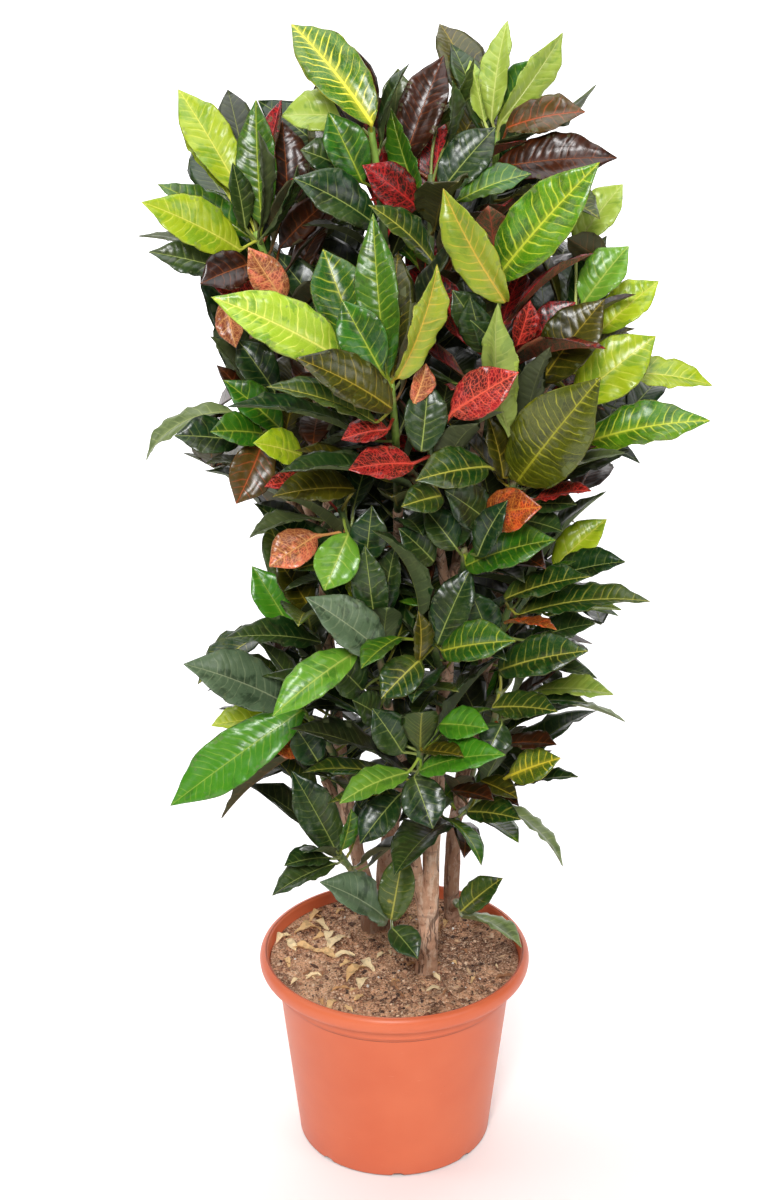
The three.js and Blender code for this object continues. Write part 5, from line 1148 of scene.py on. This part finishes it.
# veins run from the midrib out and forward, and the blade swells between them
def leafFinish():
    k = leafSkin
    f = Finish("crotonLeaf")
    x, y, _ = f.parts(f.vector("spot"))
    strength, blotches, width = f.parts(f.vector("marks"))
    seedX, seedY, seedZ = f.parts(f.vector("seed"))
    tint, veinTint, blotchTint = f.vector("tint"), f.vector("veinTint"), f.vector("blotchTint")
    under = f.value("under")
    u, v, _ = f.parts(f.add("ShaderNodeUVMap", dict(uv_map="UVMap")))
    edge = abs(u * 2 - 1)
    away = abs(x)
    rightSide = f.step(x, -0.01, 0.01)

    wander = f.noise(f.join(x * 0.035 + seedX, y * 0.05 + seedY, seedZ), 1.0, 2)
    forward = y - away * k["lean"] - away * away * k["curve"]
    rib = forward / k["veinGap"] + rightSide * k["offset"] + wander * k["wander"] + seedX
    offVein = abs(rib.math("FRACT") - 0.5)
    fade = f.noise(f.join(x * 0.06 + seedZ, rib * 0.9, seedY), 1.0, 2)
    broken = f.step(fade, 0.34, 0.6)
    thick = (0.075 - edge * 0.055) * (0.7 + width * 0.4) * (0.6 + broken)
    vein = 1 - f.step(offVein, thick * 0.2, thick)
    vein = vein * (0.35 + broken * 0.65) * (1 - f.step(edge, 0.7, 0.97)) * f.step(v, -0.02, 0.03)
    halfRib = (1.15 - v * 0.85) * width
    midrib = 1 - f.step(away, halfRib * 0.5, halfRib)
    fine = f.add("ShaderNodeTexVoronoi", dict(feature="DISTANCE_TO_EDGE"),
                 {"Vector": f.join(x * 0.34 + seedX, rib * 2.6, seedZ), "Scale": 1.0})
    net = 1 - f.step(fine, 0.02, 0.1)

    patch = f.noise(f.join(away * 0.05 + seedY, rib * 0.36 + seedX, seedZ + rightSide * 7), 1.0, 4, 0.62)
    low = 0.63 - blotches * 0.22
    blotch = f.step(patch, low, low + 0.09) * (0.4 + blotches * 0.6)
    speck = f.noise(f.join(x * 0.25 + seedX, y * 0.25, seedZ), 1.0, 3, 0.7)
    sun = f.step(f.noise(f.join(x * 0.02 + seedY, y * 0.014 + seedX, seedZ), 1.0, 1), 0.35, 0.7)
    base = f.mix(blotch, tint, blotchTint)
    base = f.mix(sun * k["sunlit"], base, f.mix(0.35, base, veinTint))
    base = f.mix(f.step(speck, 0.45, 0.8) * k["speckled"], base, f.mix(0.5, base, veinTint))
    red = f.step(blotches, 0.75, 0.88)
    cells = f.step(fine, 0.1, 0.26) * red * (1 - f.step(edge, 0.5, 0.95)) * f.step(speck, 0.3, 0.55)
    base = f.mix(cells * 0.85, base, blotchTint)
    base = f.mix(net * (0.12 + red * 0.6) * strength, base, veinTint)
    halo = (1 - f.step(offVein, 0.02, 0.26)) * broken * 0.24 * strength * (1 - edge * 0.8)
    base = f.mix(halo, base, veinTint)
    glow = (1 - f.step(away, halfRib, halfRib * 4.5)) * 0.3 * strength
    base = f.mix(glow, base, veinTint)
    base = f.mix(vein * (0.1 + strength * 0.85), base, veinTint)
    base = f.mix(midrib * (strength * 0.45 + 0.5), base, veinTint)
    rim = f.step(edge, 0.94, 1.0) * f.step(v, 0.0, 0.05)
    base = f.mix(rim * 0.5 * strength, base, veinTint)
    base = f.mix(under, base, f.mix(k["paler"], base, k["underTint"]))

    swell = f.step(offVein, 0.0, 0.42)
    wave = f.noise(f.join(x * 0.05 + seedZ, y * 0.05 + seedX, seedY), 1.0, 2)
    cushion = swell * (0.3 + sun * 0.7) * (0.15 + fade * 0.8) * (1 - edge * 0.4)
    height = cushion - midrib * k["furrow"] + speck * k["grain"] + wave * k["waves"]
    gloss = k["gloss"] + speck * 0.1 + under * k["underGloss"]
    normal = f.bump(height, k["bump"], k["bumpHeight"])
    return f.surface(Base_Color=base, Roughness=gloss, Normal=normal, Coat_Weight=(1 - under) * k["coat"],
                     Coat_Roughness=k["coatGloss"], Specular_IOR_Level=k["mirror"])


# fine streaks along a green stem, and dry patches on it
def stemFinish(name, tint, streak, dry):
    f = Finish(name)
    where = f.add("ShaderNodeTexCoord", {}, out="Object")
    x, y, z = f.parts(where)
    grain = f.noise(f.join(x * 260, y * 260, z * 60), 1.0, 4, 0.6)
    patch = f.noise(where, 60.0, 2)
    colour = f.mix(f.step(grain, 0.4, 0.75), tint, streak)
    colour = f.mix(f.step(patch, 0.55, 0.7), colour, dry)
    return f.surface(Base_Color=colour, Roughness=0.42 + grain * 0.2, Normal=f.bump(grain, 0.4, 0.5))


oldStem = stemFinish("greenStem", shade(96, 116, 62), shade(60, 86, 44), shade(142, 128, 92))
youngStem = stemFinish("youngStem", shade(140, 172, 72), shade(104, 142, 52), shade(170, 180, 96))
leafMaterial = leafFinish()

# share is of the radius in the frame
stemLook = dict(around=12, steps=6, knots=19, knotHeight=0.1, wander=0.02, ridge=0, burls=0, share=0.82)
for shoot in allShoots:
    for young in (False, True):
        node = ("young_" if young else "shoot_") + shoot["name"]
        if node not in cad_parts:
            continue
        leaves = [leaf for leaf in placed if leaf["shoot"] == shoot["name"] and leaf["young"] == young]
        slot, steps = "young_leaf" if young else "croton_leaf", stemLook["steps"]
        start = shoot["youngAt"] if young else shoot["green"]
        end = len(shoot["line"]) if young or not shoot.get("young") else shoot["youngAt"] + 1
        line = smoothLine(shoot["line"], steps)[start * steps:(end - 1) * steps + 1]
        along = np.linspace(start, end - 1, len(line))
        radii = np.interp(along, np.arange(len(shoot["line"])), shoot["radii"])
        tube = branchPoints(line, radii * stemLook["share"], stemLook, shoot["index"])
        place(meshFrom("stem_" + node, *joined([tube])), youngStem if young else oldStem, slot, [])
        place(leafMesh("leaves_" + node, leaves), leafMaterial, slot, [node])
print("leaves and stems made")

# bark of trunks, limbs and stubs: heights of knots and ridges, the wander of the surface and the flare at the
# foot are shares of the radius
trunkLook = dict(around=32, steps=14, knots=38, knotHeight=0.03, wander=0.07, ridge=0.028, burls=9,
                 flare=0.16, flareHeight=15)
limbLook = dict(around=12, steps=6, knots=26, knotHeight=0.08, wander=0.03, ridge=0.02, burls=2)
stubLook = dict(around=24, steps=8, knots=60, knotHeight=0.02, wander=0.09, ridge=0.04, burls=4, draw=3.0)


# the tint for wood at the back of the bush is painted shade
barkTints = dict(pale=shade(220, 176, 146), tan=shade(176, 134, 106), flake=shade(214, 186, 162),
                 scar=shade(120, 92, 74), crack=shade(86, 62, 48), cork=shade(92, 68, 54),
                 shadeBehind=shade(104, 72, 54), cutLight=shade(226, 186, 110), cutDark=shade(176, 124, 66))


# cracks and ridges run up the wood, leaf scars round it; the back trunks are darkened with painted shade,
# a broken end is pale
def barkFinish():
    tints = barkTints
    f = Finish("bark")
    where = f.add("ShaderNodeTexCoord", {}, out="Object")
    x, y, z = f.parts(where)
    bend = f.noise(where, 30.0, 2) * 0.03
    cracks = f.noise(f.join((x + bend) * 210, (y + bend) * 210, z * 17), 1.0, 5, 0.6)
    scars = f.noise(f.join(x * 14, y * 14, z * 95), 1.0, 3, 0.6)
    patch = f.noise(where, 26.0, 4, 0.6)
    flakes = f.noise(f.join(x * 150, y * 150, z * 60), 1.0, 4, 0.65)
    cork = f.noise(where, 520.0, 3, 0.7)
    colour = f.mix(f.step(patch, 0.36, 0.62), tints["pale"], tints["tan"])
    colour = f.mix(f.step(flakes, 0.5, 0.6) * 0.7, colour, tints["flake"])
    colour = f.mix(f.step(scars, 0.58, 0.66) * 0.5, colour, tints["scar"])
    colour = f.mix(f.step(cracks, 0.53, 0.62) * 0.85, colour, tints["crack"])
    colour = f.mix(f.step(cork, 0.58, 0.76) * 0.5, colour, tints["cork"])
    # painted shade: wood behind the pot's axis is darkened, up to half, towards a deep brown
    colour = f.mix(f.step(y, 0.0, 0.05) * 0.5, colour, tints["shadeBehind"])
    broken = f.mix(f.step(flakes, 0.4, 0.6), tints["cutLight"], tints["cutDark"])
    colour = f.mix(f.step(f.value("cut"), 0.2, 0.7), colour, broken)
    height = cracks * -1.6 + scars * -0.4 + flakes * 0.5 + cork * 0.25
    return f.surface(Base_Color=colour, Roughness=0.8 + cork * 0.15, Normal=f.bump(height, 0.9, 1.6))


# a trunk with its limbs and stubs, and for each of them whether it ends in a cut
def trunkParts(name, line):
    look = trunkLook
    thick, thin = trunks[name]["radius"]
    smooth = smoothLine(line, look["steps"])
    marks = np.arange(len(line))
    share = np.maximum(0, (marks - 1) / (len(line) - 2))
    radii = np.interp(np.linspace(0, len(line) - 1, len(smooth)), marks, thick + (thin - thick) * share)
    height = np.maximum(0, smooth[:, 2] - level["soil"])
    radii = radii * (1 + look["flare"] * np.exp(-height / look["flareHeight"]))
    parts, cuts = [branchPoints(smooth, radii, look, float(thick))], [False]
    for stub in stubs:
        if stub["trunk"] == name:
            points = smoothLine(np.array([seen(p) for p in stub["path"]]), stubLook["steps"])
            radii = np.linspace(*stub["radius"], len(points))
            parts.append(branchPoints(points, radii, stubLook, stubLook["draw"]))
            cuts.append(True)
    for shoot in allShoots:
        if shoot["trunk"] == name:
            steps = limbLook["steps"]
            points = smoothLine(shoot["line"], steps)[:shoot["green"] * steps + 1]
            along = np.linspace(0, shoot["green"], len(points))
            radii = np.interp(along, np.arange(len(shoot["line"])), shoot["radii"])
            parts.append(branchPoints(points, radii, limbLook, shoot["index"]))
            cuts.append(False)
    return parts, cuts


barkMaterial = barkFinish()
for name, line in trunkLines.items():
    parts, cuts = trunkParts(name, line)
    points, faces, uv = joined(parts)
    cut = np.zeros(len(points))
    lastPoints = np.cumsum([len(part[0]) for part in parts]) - 1
    cut[lastPoints[np.array(cuts)]] = 1
    place(meshFrom("wood_" + name, points, faces, uv, {"cut": ("FLOAT", cut)}), barkMaterial, "bark", [name])
print("trunks made")

# pot
potLook = dict(height=206, rimRadius=135, rimHeight=17, bead=6.5, mouthRadius=126.5, collarRadius=122.5,
               collarHeight=13, wallRadius=116.5, baseRadius=97.5, stepHeight=4.6, wall=3, floor=4,
               around=192, notches=8, notchWidth=9, notchHeight=3.4, notchTurn=-43)


# heights of the undersides of the rim, the collar below it and the thin step below that
def potFeet():
    rimFoot = potLook["height"] - potLook["rimHeight"]
    collarFoot = rimFoot - potLook["collarHeight"]
    return rimFoot, collarFoot, collarFoot - potLook["stepHeight"]


# A profile turned round the pot's axis, from the base up the outside and down the inside. The rim is a
# rolled bead, an arc flattened at its side, and under the collar a thin second step leads to the wall.
# Under each notch the lower edge of the wall is lifted.
def potSurface():
    p = potLook
    base, wallOut, collar, mouth = p["baseRadius"], p["wallRadius"], p["collarRadius"], p["mouthRadius"]
    rimFoot, collarFoot, stepFoot = potFeet()
    share = np.linspace(0, 1, 14)[:, None]
    angle = np.linspace(-np.pi / 2, np.pi / 2, 15)
    bead = np.stack([p["rimRadius"] - p["bead"] + p["bead"] * np.abs(np.cos(angle)) ** 0.75,
                     rimFoot + p["rimHeight"] / 2 * (1 + np.sin(angle))], axis=-1)
    outline = [[base - 12, 0], [base - 9.5, 0], [base - 3, 0], [base - 0.8, 0.5], [base - 0.1, 1.8]]
    outline += (np.array([base, 3.6]) + share * [wallOut - 0.4 - base, stepFoot - 4.6]).tolist()
    inner = wallOut - 0.4
    for radius, foot, top in ((wallOut + 1.8, stepFoot, collarFoot), (collar, collarFoot, rimFoot)):
        outline += [[inner + 0.1, foot - 0.4], [radius - 0.6, foot], [radius - 0.1, foot + 0.4],
                    [radius, foot + 1.1], [radius, top - 0.8]]
        inner = radius
    outline += bead.tolist()
    outline += [[mouth + 2.6, p["height"]], [mouth + 0.8, p["height"] - 0.6], [mouth, p["height"] - 2.2],
                [mouth - 1, level["soil"] - 3], [collar - p["wall"] - 1.5, rimFoot - 2],
                [wallOut - p["wall"], collarFoot - 2], [base - p["wall"], p["floor"]],
                [base - 12, p["floor"]]]
    outline = np.array(outline)
    turn = 2 * np.pi * np.arange(p["around"]) / p["around"]
    radius = outline[:, 0][:, None] * np.ones(p["around"])
    height = outline[:, 1][:, None] * np.ones(p["around"])
    step = 2 * np.pi / p["notches"]
    off = np.abs((turn - math.radians(p["notchTurn"] - 90) + step / 2) % step - step / 2) * p["baseRadius"]
    lifted = p["notchHeight"] * np.clip((p["notchWidth"] / 2 + 0.8 - off) / 1.6, 0, 1)
    lowerWall = (np.arange(len(outline)) > 2) & (np.arange(len(outline)) < 6)
    height = np.where(lowerWall[:, None], np.maximum(height, lifted), height)
    points = np.stack([radius * np.cos(turn), radius * np.sin(turn), height], axis=-1)
    ends = np.array([[0, 0, 0], [0, 0, p["floor"]]], float)
    length = np.concatenate([[0], np.cumsum(size(np.diff(outline, axis=0)))]) / 100
    uv = np.stack(np.broadcast_arrays(turn[None] / (2 * np.pi), length[:, None]), axis=-1)
    endUv = [[0, 0], [0, length[-1]]]
    return np.vstack([points.reshape(-1, 3), ends]), len(outline), np.vstack([uv.reshape(-1, 2), endUv])


# the line and inside tints are painted shade, for the thin lines under the steps and for the notch recesses
potTints = dict(shaded=shade(213, 101, 62), plain=shade(220, 111, 71), scuff=shade(244, 176, 148),
                speck=shade(150, 84, 62), low=shade(188, 92, 66), line=shade(118, 46, 30),
                inside=shade(52, 26, 20))


# faintly clouded plastic with fine scuffs; the lines under the rim and under both steps are painted shade, and
# the notch recesses are painted dark as shade
def potFinish():
    tints = potTints
    f = Finish("terracottaPlastic")
    where = f.add("ShaderNodeTexCoord", {}, out="Object")
    x, y, z = f.parts(where)
    cloud = f.noise(where, 9.0, 3, 0.6)
    grain = f.noise(where, 900.0, 2, 0.6)
    scuff = f.noise(f.join(x * 40, y * 40, z * 260), 1.0, 3, 0.7)
    speck = f.noise(where, 240.0, 2, 0.7)
    colour = f.mix(f.step(cloud, 0.3, 0.7), tints["shaded"], tints["plain"])
    colour = f.mix(f.step(scuff, 0.66, 0.74) * 0.16, colour, tints["scuff"])
    colour = f.mix(f.step(speck, 0.72, 0.78) * 0.22, colour, tints["speck"])
    low = 1 - f.step(z, 0.0, 0.03)
    colour = f.mix(low * 0.18, colour, tints["low"])
    # painted shade: a thin dark line just below the rim, the collar and the step, where their overhang shades
    # the wall
    for foot in potFeet():
        line = 1 - f.step(abs(z - (foot - 0.6) * metres), 0.0003, 0.0016)
        colour = f.mix(line * 0.85, colour, tints["line"])
    # painted shade: the shallow recess under each notch is darkened as if the pot's dark inside showed through
    reach = (x * x + y * y) ** 0.5
    base, top = potLook["baseRadius"], potLook["notchHeight"]
    inside = 1 - f.step(reach, (base - 0.9) * metres, (base - 0.3) * metres)
    shadedNotch = inside * (1 - f.step(z, top * metres, (top + 0.3) * metres))
    colour = f.mix(shadedNotch * 0.9, colour, tints["inside"])
    gloss = 0.34 + cloud * 0.12 + f.step(scuff, 0.6, 0.74) * 0.12
    return f.surface(Base_Color=colour, Roughness=gloss, Normal=f.bump(grain + scuff * 0.4, 0.12, 0.25))


points, rings, uv = potSurface()
pot = meshFrom("plasticPot", points, tubeFaces(rings, potLook["around"]), uv)
place(pot, potFinish(), "terracotta_plastic", ["pot"])
print("pot made")

# soil: wall is [radius, height] up along the pot's inside, and clods are (how close the waves are, height); the
# clods fade over the last even mm to the wall, and litter is strewn out to the radius strewn
soilLook = dict(radius=124.6, rings=70, around=180, relief=2.2, bottom=150, even=6, strewn=117,
                wall=[[108.5, 150], [111.5, 172], [116.4, 186], [123.6, 190.6]],
                clods=[(0.21, 1.1), (0.43, 0.8), (0.83, 0.5), (1.55, 0.32)])


# the frame's gentle relief
def soilRelief(x, y):
    swell = np.sin(x * 0.061 + 0.7) * np.cos(y * 0.053 - 0.4) + 0.5 * np.sin(x * 0.13 - y * 0.11)
    return soilLook["relief"] * swell


# that relief with clods: smooth waves of smaller and smaller size
def soilHeight(x, y):
    clods = 0
    for k, (scale, amount) in enumerate(soilLook["clods"]):
        a = 0.9 + 1.7 * k
        along = np.sin(x * scale + 2.1 * np.sin(y * scale * 0.7 + a))
        across = np.cos(y * scale * 1.1 + 1.7 * np.sin(x * scale * 0.8 - a))
        clods = clods + amount * (along * across)
    edge = np.clip((soilLook["radius"] - np.hypot(x, y)) / soilLook["even"], 0, 1)
    return level["soil"] + soilRelief(x, y) * edge + clods * edge


# The top is a disc of circles whose height is soilHeight, closer together towards the wall; from its edge the
# soil goes down along the pot's inside to a flat bottom.
def soilSurface():
    s = soilLook
    turn = 2 * np.pi * np.arange(s["around"]) / s["around"]
    reach = s["radius"] * np.linspace(1, 0.012, s["rings"]) ** 0.9
    x, y = reach[:, None] * np.cos(turn), reach[:, None] * np.sin(turn)
    z = soilHeight(x, y)
    radius, height = np.array(s["wall"], float).T[..., None]
    wall = np.stack(np.broadcast_arrays(radius * np.cos(turn), radius * np.sin(turn), height), axis=-1)
    rows = np.concatenate([wall, np.stack([x, y, z], axis=-1)])
    ends = np.array([[0, 0, s["bottom"]], [0, 0, float(soilHeight(np.zeros(1), np.zeros(1))[0])]])
    return np.vstack([rows.reshape(-1, 3), ends]), len(rows)


soilTints = dict(dark=shade(126, 82, 58), light=shade(230, 172, 132), dry=shade(242, 192, 152),
                 darkPatch=shade(96, 64, 48), grit=shade(248, 220, 190), pit=shade(50, 32, 24))


# clods in two browns with drier and darker patches, pale grit and dark pits between
def soilFinish():
    tints = soilTints
    f = Finish("pottingSoil")
    where = f.add("ShaderNodeTexCoord", {}, out="Object")
    clod = f.noise(where, 110.0, 5, 0.75)
    grit = f.noise(where, 460.0, 4, 0.7)
    dry = f.noise(where, 20.0, 3, 0.6)
    fibre = f.noise(where, 1100.0, 2, 0.6)
    colour = f.mix(f.step(clod, 0.38, 0.6), tints["dark"], tints["light"])
    colour = f.mix(f.step(dry, 0.44, 0.64) * 0.6, colour, tints["dry"])
    colour = f.mix(f.step(f.noise(where, 13.0, 2), 0.5, 0.62) * 0.5, colour, tints["darkPatch"])
    colour = f.mix(f.step(grit, 0.55, 0.62) * 0.9, colour, tints["grit"])
    colour = f.mix((1 - f.step(grit, 0.38, 0.46)) * 0.9, colour, tints["pit"])
    height = clod * 1.2 + grit * 0.7 + fibre * 0.3
    return f.surface(Base_Color=colour, Roughness=0.95, Normal=f.bump(height, 1.0, 2.6))


points, rings = soilSurface()
soil = meshFrom("pottingSoil", points, tubeFaces(rings, soilLook["around"]))
place(soil, soilFinish(), "potting_soil", ["soil"])
print("soil made")

# litter on the soil: length is [least, most], and width and height are shares of it
litter = {
    "crumbs": dict(count=900, length=[1.6, 5.5], wide=0.8, high=0.7, jag=0.25, sink=0.35, seed=5, shades=[
        shade(110, 74, 56), shade(160, 116, 90), shade(214, 168, 136), shade(240, 206, 174),
        shade(64, 42, 34)]),
    "chips": dict(count=130, length=[5, 12], wide=0.42, high=0.24, jag=0.3, sink=0.3, seed=9, shades=[
        shade(120, 72, 50), shade(176, 128, 96), shade(214, 176, 138), shade(84, 52, 38)]),
    "perlite": dict(count=16, length=[2, 4], wide=0.9, high=0.85, jag=0.15, sink=0.2, seed=2, shades=[
        shade(246, 242, 236), shade(232, 226, 218)]),
    "scraps": dict(count=60, length=[8, 22], wide=0.55, curl=1.5, rings=8, around=10, thickness=0.5, seed=7,
        shades=[shade(232, 190, 134), shade(200, 150, 100), shade(246, 220, 174), shade(160, 110, 74),
                shade(120, 84, 60)],
        # dry leaves that the photograph shows: [across, down, length, turn, shade]
        shown=[[308, 932, 30, 0.4, 0], [322, 926, 24, 2.2, 2], [338, 944, 34, 0.9, 2], [324, 956, 26, 2.7, 0],
               [344, 958, 24, 0.2, 2], [292, 947, 26, 1.9, 2], [284, 941, 20, 0.7, 2], [356, 976, 34, 1.0, 0],
               [369, 966, 28, 2.0, 2], [330, 938, 20, 1.2, 2], [314, 978, 17, 0.3, 2], [316, 915, 24, 1.1, 0],
               [302, 950, 28, 2.9, 0], [333, 951, 22, 1.6, 0], [296, 980, 14, 0.8, 2],
               [434, 990, 16, 0.2, 2]]),
}


# the place on the soil behind a pixel of the photograph
def onSoil(across, down):
    drop = math.tan(math.atan((view["downMid"] - down) / view["focal"]) - view["tilt"])
    return seen([across, down, view["back"] - (level["soil"] - view["height"]) / drop])


# places strewn over the soil, clear of the wall
def strewn(rng, count):
    reach = soilLook["strewn"] * np.sqrt(rng.uniform(0, 1, count))
    turn = rng.uniform(0, 2 * np.pi, count)
    return np.stack([reach * np.cos(turn), reach * np.sin(turn)], axis=-1)


# each piece's points turned about the upright axis
def turned(points, turn):
    c, s = np.cos(turn)[:, None], np.sin(turn)[:, None]
    x, y, z = points[..., 0], points[..., 1], points[..., 2]
    return np.stack([x * c - y * s, x * s + y * c, z], axis=-1)


# small uneven lumps: a ball of three rings of six points, each at its own distance, drawn out and flattened
def lumps(look):
    rng = np.random.default_rng(look["seed"])
    count = look["count"]
    spots = strewn(rng, count)
    tall = np.array([0.25, 0.5, 0.75])[:, None] * np.pi
    turn = 2 * np.pi * np.arange(6) / 6
    sides = np.broadcast_arrays(np.sin(tall) * np.cos(turn), np.sin(tall) * np.sin(turn), -np.cos(tall))
    ball = np.vstack([np.stack(sides, axis=-1).reshape(-1, 3), [[0, 0, -1], [0, 0, 1]]])
    least, most = look["length"]
    length = least + (most - least) * rng.uniform(0, 1, count) ** 2
    shape = np.stack([length, length * look["wide"], length * look["high"]], axis=-1) / 2
    points = ball * (1 + look["jag"] * rng.uniform(-1, 1, (count, len(ball), 1))) * shape[:, None]
    tilt = rng.uniform(-0.5, 0.5, count)[:, None]
    points[..., 2] += tilt * points[..., 0]
    points = turned(points, rng.uniform(0, 2 * np.pi, count))
    base = soilHeight(spots[:, 0], spots[:, 1]) + shape[:, 2] * (1 - 2 * look["sink"])
    points += np.column_stack([spots, base])[:, None]
    faces = [face for k in range(count) for face in tubeFaces(3, 6, k * len(ball))]
    tints = np.array(look["shades"])[rng.integers(0, len(look["shades"]), count), :3]
    return points.reshape(-1, 3), faces, np.repeat(tints, len(ball), axis=0)


# dry leaf scraps: thin closed tubes, arched along their length and curled across it
def scraps(look):
    rng = np.random.default_rng(look["seed"])
    shown = look["shown"]
    count = look["count"] + len(shown)
    spots = np.vstack([strewn(rng, look["count"]), [onSoil(row[0], row[1])[:2] for row in shown]])
    least, most = look["length"]
    length = least + (most - least) * rng.uniform(0, 1, look["count"]) ** 2
    length = np.concatenate([length, [row[2] for row in shown]])
    turns = np.concatenate([rng.uniform(0, 2 * np.pi, look["count"]), [row[3] for row in shown]])
    picks = np.concatenate([rng.integers(0, len(look["shades"]), look["count"]), [row[4] for row in shown]])
    t = np.linspace(0.03, 0.97, look["rings"])[None, :, None]
    angle = 2 * np.pi * np.arange(look["around"]) / look["around"]
    side, upper = np.cos(angle)[None, None], np.sin(angle)[None, None]
    a, b, c = (rng.uniform(0.5, 1, (count, 1, 1)) for _ in range(3))
    long = length[:, None, None]
    half = long * look["wide"] / 2 * np.sin(np.pi * t) ** 0.6 * (1 + 0.3 * np.sin(9 * t + 20 * a)) * b
    bend = look["curl"] * c * side
    x = long * (t - 0.5) + 0 * side
    y = half * np.sin(bend) / (look["curl"] * c) + long * 0.12 * np.sin(np.pi * t) * a
    z = half * (1 - np.cos(bend)) * 0.8 + long * 0.16 * b * np.sin(np.pi * t) + upper * look["thickness"] / 2
    z = z + 0.05 * long * np.sin(12 * t + 15 * b + 2 * side) * side
    ends = long * np.array([[-0.5, 0, 0], [0.5, 0, 0]])
    points = np.concatenate([np.stack([x, y, z], axis=-1).reshape(count, -1, 3), ends], axis=1)
    points = turned(points, turns)
    points += np.column_stack([spots, soilHeight(spots[:, 0], spots[:, 1]) + 0.9])[:, None]
    each = points.shape[1]
    faces = [face for k in range(count) for face in tubeFaces(look["rings"], look["around"], k * each)]
    tints = np.array(look["shades"])[picks, :3]
    return points.reshape(-1, 3), faces, np.repeat(tints, each, axis=0)


# the piece's own tint, with darker patches and pale grain
def litterFinish():
    f = Finish("dryLitter")
    where = f.add("ShaderNodeTexCoord", {}, out="Object")
    grain = f.noise(where, 700.0, 3, 0.6)
    patch = f.noise(where, 160.0, 2, 0.6)
    tint = f.vector("tint")
    colour = f.mix(f.step(patch, 0.5, 0.62) * 0.5, tint, f.mix(0.6, tint, shade(90, 60, 44)))
    colour = f.mix(f.step(grain, 0.55, 0.7) * 0.35, colour, shade(238, 212, 176))
    return f.surface(Base_Color=colour, Roughness=0.82, Normal=f.bump(grain, 0.6, 0.5))


litterMaterial = litterFinish()
for kind, look in litter.items():
    points, faces, tints = scraps(look) if kind == "scraps" else lumps(look)
    piece = meshFrom(kind, points, faces, values={"tint": ("FLOAT_VECTOR", tints)})
    place(piece, litterMaterial, "potting_soil", [])
print("litter made")

# floor, light and camera
# the tint near the pot is a painted shadow with pink light reflected from the pot
studio = dict(floor=shade(252, 250, 250), potShadeAndReflection=shade(248, 243, 241), world=0.07, glow=0.45, below=0.4,
              width=9000, front=7000, wallFrom=4600, sweep=1200, wallTop=6000)

# area lights, in metres: [name, place, aimed at, width and depth, power, colour]
lights = [
    ["key", (-0.25, -2.6, 2.4), (0, 0, 0.6), (0.7, 0.7), 78, (1, 1, 1)],
    ["fill", (2.1, -1.7, 1.5), (0, 0, 0.6), (1.2, 1.2), 17, (1, 1, 1)],
    ["side", (-2.5, -0.4, 2.0), (0, 0, 0.7), (1.0, 1.4), 12, (1, 1, 1)],
    ["top", (-0.2, 0.1, 2.9), (0, 0, 0.7), (2.4, 2.4), 54, (0.97, 0.98, 1.0)],
]


# a floor that sweeps up into a wall well behind the plant
def stagePlane():
    start, sweep, top = studio["wallFrom"], studio["sweep"], studio["wallTop"]
    turn = np.linspace(0.1, np.pi / 2, 14)
    side = np.linspace(-studio["width"], studio["width"], 19)
    flat = np.linspace(-studio["front"], start, 20)
    run = np.concatenate([flat, start + sweep * np.sin(turn), [start + sweep]])
    rise = np.concatenate([0 * flat, sweep * (1 - np.cos(turn)), [top]]) - studio["below"]
    points = np.stack(np.broadcast_arrays(side[None], run[:, None], rise[:, None]), axis=-1).reshape(-1, 3)
    a = (np.arange(len(run) - 1)[:, None] * len(side) + np.arange(len(side) - 1)).ravel()
    faces = np.stack([a, a + 1, a + len(side) + 1, a + len(side)], axis=1).tolist()
    floor = meshFrom("floor", points, faces)
    f = Finish("paleFloor")
    where = f.add("ShaderNodeTexCoord", {}, out="Object")
    x, y = f.parts(where)[:2]
    wall = f.step(y, -0.25, 0.5) * studio["glow"] + f.step(y, 1.0, 3.0) * (1 - studio["glow"])
    distance = (x * x + y * y) ** 0.5
    # painted shadow and pink reflection of the pot: the floor is a little darker and pinker, fading out from
    # 0.2 to 0.9 m
    tint = f.mix(f.step(distance, 0.2, 0.9), studio["potShadeAndReflection"], studio["floor"])
    shine = f.mix(wall, shade(0, 0, 0), shade(255, 255, 255))
    paper = f.surface(Base_Color=tint, Roughness=0.7, Emission_Color=shine, Emission_Strength=1.0)
    floor.data.materials.append(paper)


def areaLight(name, spot, aim, wide, power, tint):
    light = bpy.data.lights.new(name, "AREA")
    light.shape = "RECTANGLE"
    light.size, light.size_y = wide
    light.energy = power
    light.color = tint
    lamp = bpy.data.objects.new(name, light)
    bpy.context.scene.collection.objects.link(lamp)
    across, away, up = np.array(aim, float) - np.array(spot, float)
    lamp.location = spot
    tip = math.atan2(math.hypot(across, away), -up)
    lamp.rotation_euler = (tip, 0, math.atan2(away, across) - math.pi / 2)


stagePlane()
for row in lights:
    areaLight(*row)

world = bpy.data.worlds.new("studio")
bpy.context.scene.world = world
world.use_nodes = True
sky = world.node_tree.nodes["Background"]
sky.inputs["Color"].default_value = (1, 1, 1, 1)
sky.inputs["Strength"].default_value = studio["world"]
bpy.context.scene.view_settings.view_transform = "Standard"

lens = bpy.data.cameras.new("camera")
lens.sensor_fit = "VERTICAL"
lens.sensor_height = 24
lens.lens = view["focal"] * lens.sensor_height / view["high"]
lens.shift_x = (view["wide"] / 2 - view["acrossMid"]) / view["high"]
lens.clip_start = 0.05
camera = bpy.data.objects.new("camera", lens)
bpy.context.scene.collection.objects.link(camera)
camera.location = (0, -view["back"] * metres, view["height"] * metres)
camera.rotation_euler = (math.pi / 2 - view["tilt"], 0, 0)
bpy.context.scene.camera = camera
